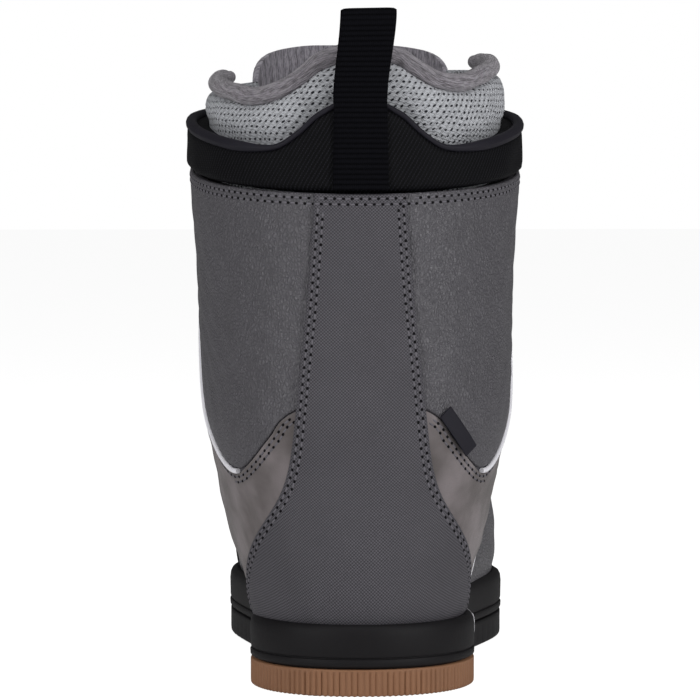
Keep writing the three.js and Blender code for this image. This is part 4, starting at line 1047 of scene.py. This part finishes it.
def sole():
    heel_end = HEEL_TREAD_LENGTH
    fore_start = heel_end + WAIST_LENGTH
    heel = tread("heel_gum", sole_outline(0.2, end=heel_end), 2.5, 1.0, 0.9, TREAD_THICKNESS)
    dress(heel, MATERIALS["gum"], replaces=["heel_tread"])
    fore = tread("forefoot_lugs", sole_outline(0.4, start=fore_start), 9.0, 0.1, 2.2, TREAD_THICKNESS)
    dress(fore, MATERIALS["rubber"], replaces=["forefoot_tread"])
    plate = walls("outsole_plate", [
        (TREAD_THICKNESS - 0.2, 3), (TREAD_THICKNESS + 0.2, 2.4), (OUTSOLE_TOP, 2.4), (OUTSOLE_TOP + 0.3, 3)])
    dress(plate, MATERIALS["rubber"], replaces=["outsole"])
    bridge(heel_end + 0.3, fore_start - 0.3)

    lip_bottom, lip_top = TREAD_THICKNESS + 0.5, OUTSOLE_TOP + 2.0
    wall = walls("cupsole_wall", [
        (lip_bottom, 2.2), (lip_bottom + 0.1, 1.3), (lip_bottom + 0.6, 0.5), (lip_bottom + 1.3, 0.1),
        (lip_top - 0.7, 0), (lip_top - 0.2, 0.3), (lip_top, 0.9), (lip_top + 0.4, 0.9), (lip_top + 0.7, 0.4),
        (lip_top + 1.6, 0.15), (MIDSOLE_TOP - 5, 0), (MIDSOLE_TOP - 2.4, 0.3), (MIDSOLE_TOP - 1, 1.0),
        (MIDSOLE_TOP - 0.2, 2.2), (MIDSOLE_TOP, 3.2), (MIDSOLE_TOP - 0.4, 4.6), (MIDSOLE_TOP - 2, 7),
        (FEATHER_Z + 2, 11)])
    dress(wall, MATERIALS["rubber"], replaces=["cupsole"])
    badge()


def bridge(start, end):
    """The outsole's waist between the two treads, clear of the ground."""
    y = np.linspace(start, end, 24)
    rings = []
    for z, inset in [(4, 5), (4.3, 3.8), (5.3, 3), (TREAD_THICKNESS + 0.4, 3)]:
        half = sole_half_width(y) - inset
        right = np.stack([foot_centre(y) + half, y], -1)
        left = np.stack([foot_centre(y) - half, y], -1)[::-1]
        rings.append(at_height(np.concatenate([right, left]), z))
    waist = lofted("outsole_waist", rings)
    dress(waist, MATERIALS["rubber"], replaces=["outsole"])


def badge():
    """A blank raised pill on the outer wall, bent to follow it."""
    length, height = 34, 10
    y0, z0 = 0.25 * SOLE_LENGTH, (OUTSOLE_TOP + 0.4 + MIDSOLE_TOP) / 2
    angles = np.linspace(0, 2 * math.pi, 65)[:-1]
    rings = []
    for inset, out in [(0, -0.4), (0, 1.0), (0.25, 1.35), (0.8, 1.5), (3, 1.5)]:
        radius = height / 2 - inset
        y = y0 + np.sign(np.cos(angles)) * (length - height) / 2 + radius * np.cos(angles)
        z = z0 + radius * np.sin(angles)
        x = foot_centre(y) + sole_half_width(y) + out
        rings.append(np.column_stack([x, y, z]))
    pill = lofted("sole_pill", rings)
    dress(pill, MATERIALS["white"], replaces=["sole_badge"])


# ---- Upper ---------------------------------------------------------------------------------------
SEAM = 1.3
SEAM_START = 0.112 * SOLE_LENGTH  # the piping starts in front of this; behind it the panels meet


def seam_gap(sheet):
    return 0.15 + (SEAM - 0.15) * smoothstep(sheet["p"][:, 1], SEAM_START - 5, SEAM_START + 3)


def puckers(sheet, size=0.3, pitch=17.0):
    """Slow waves that stop a panel from looking machined."""
    u, v = sheet["uv"].T
    along = np.sin(2 * np.pi * (u / pitch + 0.7 * np.sin(v / 23)))
    across = np.sin(2 * np.pi * v / (1.7 * pitch) + u / 31)
    return size * (along * across)


def panel(name, look, sheet, bottom, top, slot, replaces, body="boot", **options):
    piece = shell_of(name, sheet, bottom, top, **options)
    return dress(piece, MATERIALS[look], body, replaces)


def upper():
    base = region(
        BACK_GRID, lambda s: s["under_rim"] - 0.6, lambda s: s["beside_opening"] - 0.6,
        lambda s: s["over_sole"])
    panel("shell_leather", "leather", base, SHELL_BOTTOM, 0.3, "leather", ["shell"])
    lining = region(
        BACK_GRID, lambda s: s["under_rim"] - 1, lambda s: s["beside_opening"] - 1,
        lambda s: s["p"][:, 2] - 75, lambda s: s["p"][:, 2] - 75 - 1.1 * (s["p"][:, 1] - 0.42 * SOLE_LENGTH))
    piece = panel("shell_lining", "lining", lining, PADDING_BOTTOM, PADDING_TOP, "foam", ["shell_padding"])

    for name, side in SIDES.items():
        def half(s, side=side):
            return side * s["p"][:, 0] - 0.05

        quarter = region(
            BACK_GRID, half, lambda s: s["under_rim"], lambda s: s["beside_opening"],
            lambda s: s["over_band"] - seam_gap(s))
        panel(f"quarter_{name}", "leather", quarter, OVERLAY_BOTTOM, OVERLAY_TOP, "leather",
              [f"cuff_quarter_{name}"], relief=puckers)
        band = region(
            BACK_GRID, half, lambda s: -s["over_band"] - seam_gap(s), lambda s: s["behind_band_front"] - SEAM,
            lambda s: s["beside_opening"], lambda s: s["over_sole"])
        panel(f"band_{name}", "suede", band, OVERLAY_BOTTOM, OVERLAY_TOP, "suede", [f"ankle_band_{name}"],
              relief=puckers)
        eyestay = region(
            FRONT_GRID, half, lambda s: s["under_rim"], lambda s: s["beside_opening"],
            lambda s: EYESTAY_WIDTH - s["beside_opening"], lambda s: s["p"][:, 2] - THROAT_HEIGHT + 14)
        panel(f"eyestay_{name}_weave", "woven", eyestay, OVERLAY_TOP - 0.7, SECOND_TOP, "woven",
              [f"eyestay_{name}"])
        for seam, curve, start, end in [("cuff", BAND_TOP, 0.355, 0.87), ("band", BAND_FRONT, 0.16, 0.72)]:
            at = np.linspace(start, end, 80) * (len(curve) - 1)
            y, z = (np.interp(at, np.arange(len(curve)), c) for c in curve.T)
            points, _ = on_side(side, y, z, OVERLAY_TOP - 0.15)
            piece = tube(f"welt_{seam}_{name}", points, PIPING_RADIUS * 1.15)
            dress(piece, MATERIALS["white"], "boot", [f"piping_{seam}_{name}"])

    vamp = region(
        FRONT_GRID, lambda s: -s["behind_band_front"] - SEAM, lambda s: -s["over_band"],
        lambda s: s["behind_toe_line"] - 0.15, lambda s: s["beside_opening"], lambda s: s["over_sole"])
    panel("vamp_leather", "leather", vamp, OVERLAY_BOTTOM, OVERLAY_TOP, "leather", ["vamp"], relief=puckers)
    toe = region(FRONT_GRID, lambda s: -s["behind_toe_line"] - 0.15, lambda s: s["over_sole"])
    panel("toe_cap_weave", "woven", toe, OVERLAY_BOTTOM, OVERLAY_TOP + 0.3, "woven", ["toe_cap"])
    bumper = region(
        FRONT_GRID, lambda s: s["p"][:, 1] - 0.74 * SOLE_LENGTH, lambda s: MIDSOLE_TOP + 15 - s["p"][:, 2],
        lambda s: s["over_sole"])
    panel("toe_guard", "rubber", bumper, OVERLAY_BOTTOM, OVERLAY_TOP + 0.8, "black_rubber", ["toe_bumper"])
    backstay = region(
        BACK_GRID, lambda s: -s["beside_backstay"], lambda s: s["under_rim"], lambda s: s["over_sole"])
    panel("backstay_weave", "woven", backstay, OVERLAY_BOTTOM, SECOND_TOP - 0.5, "woven", ["backstay"],
          relief=lambda s: puckers(s, 0.15))


def upper_stitches():
    def in_opening(line):
        return line["beside_opening"] > 3

    def beside(line):
        return (line["beside_backstay"] > 1.2) & in_opening(line)

    def within(line):
        return line["beside_backstay"] < -1

    def below_rim_rows(line):
        return (line["under_rim"] > 7) & (line["over_sole"] > 4)

    back = BACK_GRID
    stitch_rows("rim", back, [
        (lambda s: s["under_rim"], 2.1, beside), (lambda s: s["under_rim"], 4.4, beside)], OVERLAY_TOP)
    stitch_rows("rim_backstay", back, [
        (lambda s: s["under_rim"], 2.1, within), (lambda s: s["under_rim"], 4.4, within)], SECOND_TOP - 0.5)
    stitch_rows("backstay", back, [
        (lambda s: s["beside_backstay"], -2.2, below_rim_rows),
        (lambda s: s["beside_backstay"], -4.3, below_rim_rows)], SECOND_TOP - 0.5)
    stitch_rows("band_top", back, [
        (lambda s: s["over_band"], -2.4, lambda s: beside(s) & (s["p"][:, 1] < 0.5 * SOLE_LENGTH)),
        (lambda s: s["over_band"], -4.6, lambda s: beside(s) & (s["p"][:, 1] < SEAM_START + 4))], OVERLAY_TOP)
    stitch_rows("band_front", back, [
        (lambda s: s["behind_band_front"], 3.0, lambda s: (s["over_band"] < -2) & (s["over_sole"] > 4)
         & (s["beside_opening"] > 20) & (s["p"][:, 1] < 0.7 * SOLE_LENGTH))], OVERLAY_TOP)
    front = FRONT_GRID
    stitch_rows("eyestay", front, [
        (lambda s: s["beside_opening"], 16.6, lambda s: (s["under_rim"] > 2) & (s["p"][:, 2] > 92)),
        (lambda s: s["beside_opening"], 2.2, lambda s: (s["under_rim"] > 2) & (s["p"][:, 2] > 92))],
        SECOND_TOP)
    stitch_rows("toe_cap", front, [
        (lambda s: s["behind_toe_line"], -2.4, lambda s: s["over_sole"] > 18),
        (lambda s: s["behind_toe_line"], -4.6, lambda s: s["over_sole"] > 18)], OVERLAY_TOP + 0.3)


def side_label():
    """A blank woven label caught in the outer seam behind the cuff quarter."""
    length, width, thickness = 21, 7, 0.8
    centre, normal = on_cuff(30, 107.5, SECOND_TOP - 0.4)
    along = np.array([0.7, 0, -0.72])
    along -= normal * np.dot(along, normal)
    along /= np.linalg.norm(along)
    across = np.cross(normal, along)
    columns, rings = 17, []
    for u in np.linspace(-length / 2, length / 2, 25):
        lift = 0.5 * math.sin(u / length * math.pi) - 0.012 * u * u / 3
        v = np.linspace(-width / 2, width / 2, columns)
        bevel = 0.25 * (np.abs(v) > width / 2 - 0.2)
        face = [centre + along * u + across * k + normal * (thickness + lift - b) for k, b in zip(v, bevel)]
        back = [centre + along * u + across * k + normal * lift for k in v[::-1]]
        rings.append(face + back)
    piece = lofted("side_tab", rings)
    dress(piece, MATERIALS["binding"], "boot", ["side_label"])


# ---- Collar and pull loop ------------------------------------------------------------------------
def collar():
    ring = region(
        BACK_GRID, lambda s: -s["under_rim"] - 0.2, lambda s: s["under_collar_top"],
        lambda s: s["beside_opening"])
    piece = panel("collar_mesh", "black_mesh", ring, PADDING_BOTTOM, COLLAR_BULGE - 0.6, "black_mesh",
                  ["collar"], edge=2.6, flat=0, relief=lambda s: 0.9 + puckers(s, 0.35, 26))
    degrees = np.linspace(-134, 134, 260)
    radii = 1.15 + 1.25 * smoothstep(np.abs(degrees), 26, 48)
    points, _ = on_cuff(degrees, collar_top(degrees), COLLAR_BULGE - 1.4)
    piping = tube("collar_cord", points, radii)
    dress(piping, MATERIALS["binding"], "boot", ["collar_piping"])


def ribbon(name, centres, width, thickness):
    """A flat strap through rows of points across it, rounded at its edges."""
    rows = np.asarray(centres, float)
    run = np.gradient(rows, axis=0)
    across = np.gradient(rows, axis=1)
    normal = np.cross(across, run)
    normal /= np.linalg.norm(normal, axis=-1, keepdims=True)
    share = np.linspace(-1, 1, rows.shape[1])
    half = thickness / 2 * (1 - np.abs(share) ** 8) ** 0.5
    outer = rows + normal * half[None, :, None]
    inner = rows - normal * half[None, :, None]
    rings = np.concatenate([outer, inner[:, ::-1]], 1)
    along = np.concatenate([[0], np.cumsum(np.linalg.norm(run[1:, rows.shape[1] // 2], axis=-1))])
    u = np.concatenate([share, share[::-1]]) * width / 2
    uv = np.stack(np.broadcast_arrays(u[None], along[:, None]), -1).reshape(-1, 2) * MM
    return lofted(name, rings, uv)


def pull_loop():
    """One strap: sewn up the back of the collar, over in a loop and down behind the collar."""
    half = WEBBING_WIDTH / 2
    columns = np.linspace(-half, half, 23)
    out = COLLAR_BULGE + 0.4 + WEBBING_THICKNESS / 2
    rows = []
    for z in np.arange(RIM_HEIGHT + 1.5, RIM_HEIGHT + 39, 1.0):
        on_collar, _ = on_cuff(np.degrees(columns / 70), z, out)
        rows.append(on_collar)
    base = np.array(rows)
    base[..., 0] = columns
    crown = base[-1, :, 1] - base[-1, 11, 1]
    outside = base[-1, 11, 1]
    inside = outside + 8.3
    radius = (inside - outside) / 2
    top = LOOP_TOP - WEBBING_THICKNESS / 2 - radius
    path = [(outside, z) for z in np.arange(RIM_HEIGHT + 39, top, 1.0)]
    path += [(outside + radius - radius * math.cos(a), top + radius * math.sin(a))
             for a in np.linspace(0, math.pi, 16)]
    path += [(inside, z) for z in np.arange(top - 1, LOOP_PIVOT_Z - 8, -1.0)]
    for y, z in path:
        rise = smoothstep(z, RIM_HEIGHT + 38, LOOP_TOP)
        camber = crown * (1 - rise)
        x = columns * (1 + 0.04 * rise) + 3.4 * rise
        rows.append(np.stack([x, y + camber, z + 0.02 * rise * columns], -1))
    strap = ribbon("pull_strap", rows, WEBBING_WIDTH, WEBBING_THICKNESS)
    dress(strap, MATERIALS["webbing"], None, ["pull_loop", "pull_loop_base"])
    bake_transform(strap)


# ---- Tongue --------------------------------------------------------------------------------------
def tongue_top(p):
    return RIM_HEIGHT + 36 - 10 * smoothstep(180 - np.abs(cuff_degrees(p)), 10, 55)


def tongue():
    face = region(
        FRONT_GRID, lambda s: -s["beside_opening"] - 1.7, lambda s: tongue_top(s["p"]) - s["p"][:, 2])
    panel("tongue_leather", "leather", face, SHELL_BOTTOM, OVERLAY_TOP, "leather", ["tongue_shell"], "tongue",
          relief=puckers)
    pad = region(
        FRONT_GRID, lambda s: -s["beside_opening"] - 2.7, lambda s: tongue_top(s["p"]) - s["p"][:, 2] - 2)
    piece = panel("tongue_pad", "lining", pad, PADDING_BOTTOM, PADDING_TOP, "foam", ["tongue_padding"],
                  "tongue", edge=1.6)
    dial_z = FRONT_RIM - 13
    strip = region(
        FRONT_GRID, lambda s: 15 - np.abs(s["p"][:, 0]), lambda s: s["p"][:, 2] - THROAT_HEIGHT - 12,
        lambda s: dial_z - 26.5 - s["p"][:, 2], lambda s: s["p"][:, 1] - SHAFT_Y - 12)
    panel("tongue_strip", "woven", strip, OVERLAY_TOP - 0.4, SECOND_TOP, "woven", ["tongue_panel"], "tongue")


# ---- Liner ---------------------------------------------------------------------------------------
def liner():
    cuff_line = RIM_HEIGHT - 22

    def proud(sheet):
        above = -sheet["under_collar_top"]
        bulge = 2.2 * smoothstep(above, 1, 8) * smoothstep(sheet["under_liner_top"], -1, 9)
        return bulge + puckers(sheet, 0.4, 24)

    cuff = region(
        BACK_GRID, lambda s: s["p"][:, 2] - cuff_line - 0.2, lambda s: s["under_liner_top"],
        lambda s: s["beside_opening"] + 2)
    piece = panel("liner_mesh_cuff", "air_mesh", cuff, LINER_BOTTOM, LINER_TOP, "liner_mesh", ["liner_cuff"],
                  edge=2.8, flat=0, relief=proud)
    sock = region(
        BACK_GRID, lambda s: cuff_line - 0.2 - s["p"][:, 2], lambda s: s["beside_opening"] + 2,
        lambda s: s["p"][:, 2] - 21)
    piece = panel("liner_sock", "lining", sock, LINER_BOTTOM, LINER_TOP, "foam",
                  ["liner_boot", "liner_forefoot"])
    degrees = np.linspace(-124, 124, 240)
    taper = 0.7 + 0.3 * smoothstep(124 - abs(degrees), 0, 9)
    radii = ROLL_RADIUS * (1.12 + 0.04 * np.sin(degrees / 3.1)) * taper
    points, _ = on_cuff(degrees, liner_top(degrees) + ROLL_RADIUS, (LINER_TOP + LINER_BOTTOM) / 2)
    roll = tube("liner_jersey_roll", points, radii, 24)
    dress(roll, MATERIALS["roll"], "boot", ["liner_roll"])

    bed = walls("footbed_fabric", [(25.2, 20.5), (25.6, 19.8), (28.2, 19.8), (28.9, 20.3), (29.1, 22)])
    dress(bed, MATERIALS["footbed"], "boot", ["footbed"])
    flap = region(
        FRONT_GRID,
        lambda s: smooth_min(
            -s["beside_opening"] - 1.6,
            RIM_HEIGHT + 62 - 5 * smoothstep(180 - np.abs(cuff_degrees(s["p"])), 12, 50) - s["p"][:, 2], 16))
    piece = panel("liner_tongue_jersey", "tongue_jersey", flap, LINER_BOTTOM, LINER_TOP, "liner_jersey",
                  ["liner_tongue"], "liner_tongue", edge=2.8, flat=0, relief=lambda s: puckers(s, 0.4, 22))


# ---- Lace ----------------------------------------------------------------------------------------
GUIDE_OFFSET = SECOND_TOP + 0.4 + 0.6 + 3.1
TURN_RADIUS = 5.5
GUIDE_ROWS = 4
ROW_TOP = FRONT_RIM - 26
ROW_STEP = (ROW_TOP - THROAT_HEIGHT - 21) / (GUIDE_ROWS - 1)
LACE_LEVEL = 6.0  # above the tongue's face, where the lace enters the dial


def guide_frame(side, row):
    z = ROW_TOP - ROW_STEP * row
    point, normal = on_front(side * (opening_half_width(z) + EYESTAY_WIDTH / 2), z, GUIDE_OFFSET)
    above, _ = on_front(side * (opening_half_width(z + 2) + EYESTAY_WIDTH / 2), z + 2, GUIDE_OFFSET)
    up = above - point
    up -= normal * np.dot(up, normal)
    up /= np.linalg.norm(up)
    return point, up, np.cross(normal, up) * side


def guide_turn(side, row):
    """In at the top of a guide, round and out at its bottom."""
    point, up, out = guide_frame(side, row)
    r = TURN_RADIUS
    places = [(-8, 1.08 * r), (-2, r)]
    places += [(r * math.cos(math.radians(a)), r * math.sin(math.radians(a))) for a in (55, 20, -20, -55)]
    places += [(-2, -r), (-8, -1.08 * r)]
    return [point + out * u + up * v for u, v in places]


def strand(side):
    """From the dial down through one guide in each row, on one side and the other by turns."""
    centre, normal = on_front(0, FRONT_RIM - 13, OVERLAY_TOP + 0.4)
    route = [centre + normal * LACE_LEVEL + np.array([side * x, 0, 0]) for x in (11, 17.5)]
    for row in range(GUIDE_ROWS):
        here = side * (-1 if row % 2 else 1)
        route += guide_turn(here, row)
        if row == GUIDE_ROWS - 1:
            continue
        z = ROW_TOP - ROW_STEP * (row + 0.5)
        slope = (ROW_STEP - 2 * TURN_RADIUS) / (2 * opening_half_width(z))
        over = (side > 0) == (row % 2 == 0)
        middle = OVERLAY_TOP + (2.35 * 2.4 + 1.9 if over else 1.2 + 2.2)
        for share in (1, 0.55, 0, -0.55, -1):
            x = here * share * (opening_half_width(z) + 2)
            offset = middle + (GUIDE_OFFSET + 0.6 - middle) * share**2
            route.append(on_front(x, z + slope * here * x, offset)[0])
    return route


def lace():
    bottom = ROW_TOP - ROW_STEP * (GUIDE_ROWS - 1) - TURN_RADIUS
    first, second = strand(1), strand(-1)[::-1]
    ends = np.sign(first[-1][0])
    across = [on_front(ends * k * opening_half_width(bottom), bottom, GUIDE_OFFSET)[0]
              for k in (1, 0.5, 0, -0.5, -1)]
    knots = np.array(first + across + second)
    at = np.concatenate([[0], np.cumsum(np.sqrt(np.linalg.norm(np.diff(knots, axis=0), axis=-1)))])
    fine = np.linspace(0, at[-1], 1400)
    route = np.stack([through(list(zip(at, c)))(fine) for c in knots.T], -1)
    for name, side in SIDES.items():
        inside = side * route[:, 0] >= -0.4
        starts = np.flatnonzero(np.diff(np.concatenate([[0], inside.astype(int), [0]])))
        runs = [tube("run", route[a:b], LACE_RADIUS, 8) for a, b in starts.reshape(-1, 2) if b - a > 2]
        piece = joined(f"lace_{name}", runs)
        dress(piece, MATERIALS["lace"], None, ["lace"])
        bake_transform(piece)


def joined(name, objects):
    """Several meshes as one object."""
    with bpy.context.temp_override(active_object=objects[0], selected_editable_objects=objects):
        bpy.ops.object.join()
    objects[0].name = name
    return objects[0]


# ---- Hard parts that keep their CAD shape --------------------------------------------------------
def hard_parts():
    plastic = ["heel_counter", "dial_base", "dial_housing", "lace_spool", "pawl_disc", "dial_knob"]
    plastic += [f"lace_guide_{name}_{row + 1}" for name in SIDES for row in range(GUIDE_ROWS)]
    looks = {"plastic": plastic, "steel": ["shank", "dial_axle", "dial_bush"], "board": ["insole_board"]}
    for look, nodes in looks.items():
        for node in nodes:
            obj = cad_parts[node]
            obj.data.materials.clear()
            obj.data.materials.append(MATERIALS[look])


# ---- Stage ---------------------------------------------------------------------------------------
def floor():
    """A wide white floor."""
    reach = 6000
    points = [(x, y, -0.05) for y in (-reach, reach) for x in (-reach, reach)]
    obj = new_object("studio_floor", points, [(0, 1, 3, 2)])
    obj.data.materials.append(MATERIALS["floor"])


def lamp(name, place_m, target, size, power):
    light = bpy.data.lights.new(name, "AREA")
    light.shape = "RECTANGLE"
    light.size, light.size_y = size
    light.energy = power
    obj = bpy.data.objects.new(name, light)
    bpy.context.scene.collection.objects.link(obj)
    obj.location = place_m
    obj.rotation_euler = (Vector(target) - Vector(place_m)).to_track_quat("-Z", "Y").to_euler()


def studio():
    floor()
    middle = (0, -0.08, 0.13)
    lamp("softbox_left", (-1.0, -0.95, 0.5), middle, (0.22, 1.3), 7.5)
    lamp("softbox_right", (1.0, -0.95, 0.5), middle, (0.22, 1.3), 10)
    lamp("overhead", (0, -0.5, 1.5), middle, (1.2, 1.0), 4.5)
    world = bpy.data.worlds.new("studio")
    world.use_nodes = True
    nodes, links = world.node_tree.nodes, world.node_tree.links
    background = nodes["Background"]
    background.inputs["Color"].default_value = (1, 1, 1, 1)
    seen = nodes.new("ShaderNodeLightPath").outputs["Is Camera Ray"]
    strength = nodes.new("ShaderNodeMapRange")
    strength.inputs["To Min"].default_value = 0.12
    strength.inputs["To Max"].default_value = 1.0
    links.new(seen, strength.inputs["Value"])
    links.new(strength.outputs[0], background.inputs["Strength"])
    bpy.context.scene.world = world
    bpy.context.scene.view_settings.view_transform = "Standard"


def camera():
    """Behind the heel, a little to the inner side and a little above it."""
    target = Vector((-0.0043, -0.137, 0.141))
    distance, azimuth, pitch = 1.8, math.radians(1.8), math.radians(3.4)
    level = math.cos(pitch)
    away = Vector((-math.sin(azimuth) * level, -math.cos(azimuth) * level, math.sin(pitch)))
    data = bpy.data.cameras.new("camera")
    data.lens = 225.8
    data.sensor_width = 36
    obj = bpy.data.objects.new("camera", data)
    bpy.context.scene.collection.objects.link(obj)
    obj.location = target + away * distance
    obj.rotation_euler = (-away).to_track_quat("-Z", "Y").to_euler()
    bpy.context.scene.camera = obj


sole()
upper()
upper_stitches()
side_label()
collar()
pull_loop()
tongue()
liner()
lace()
hard_parts()
studio()
camera()
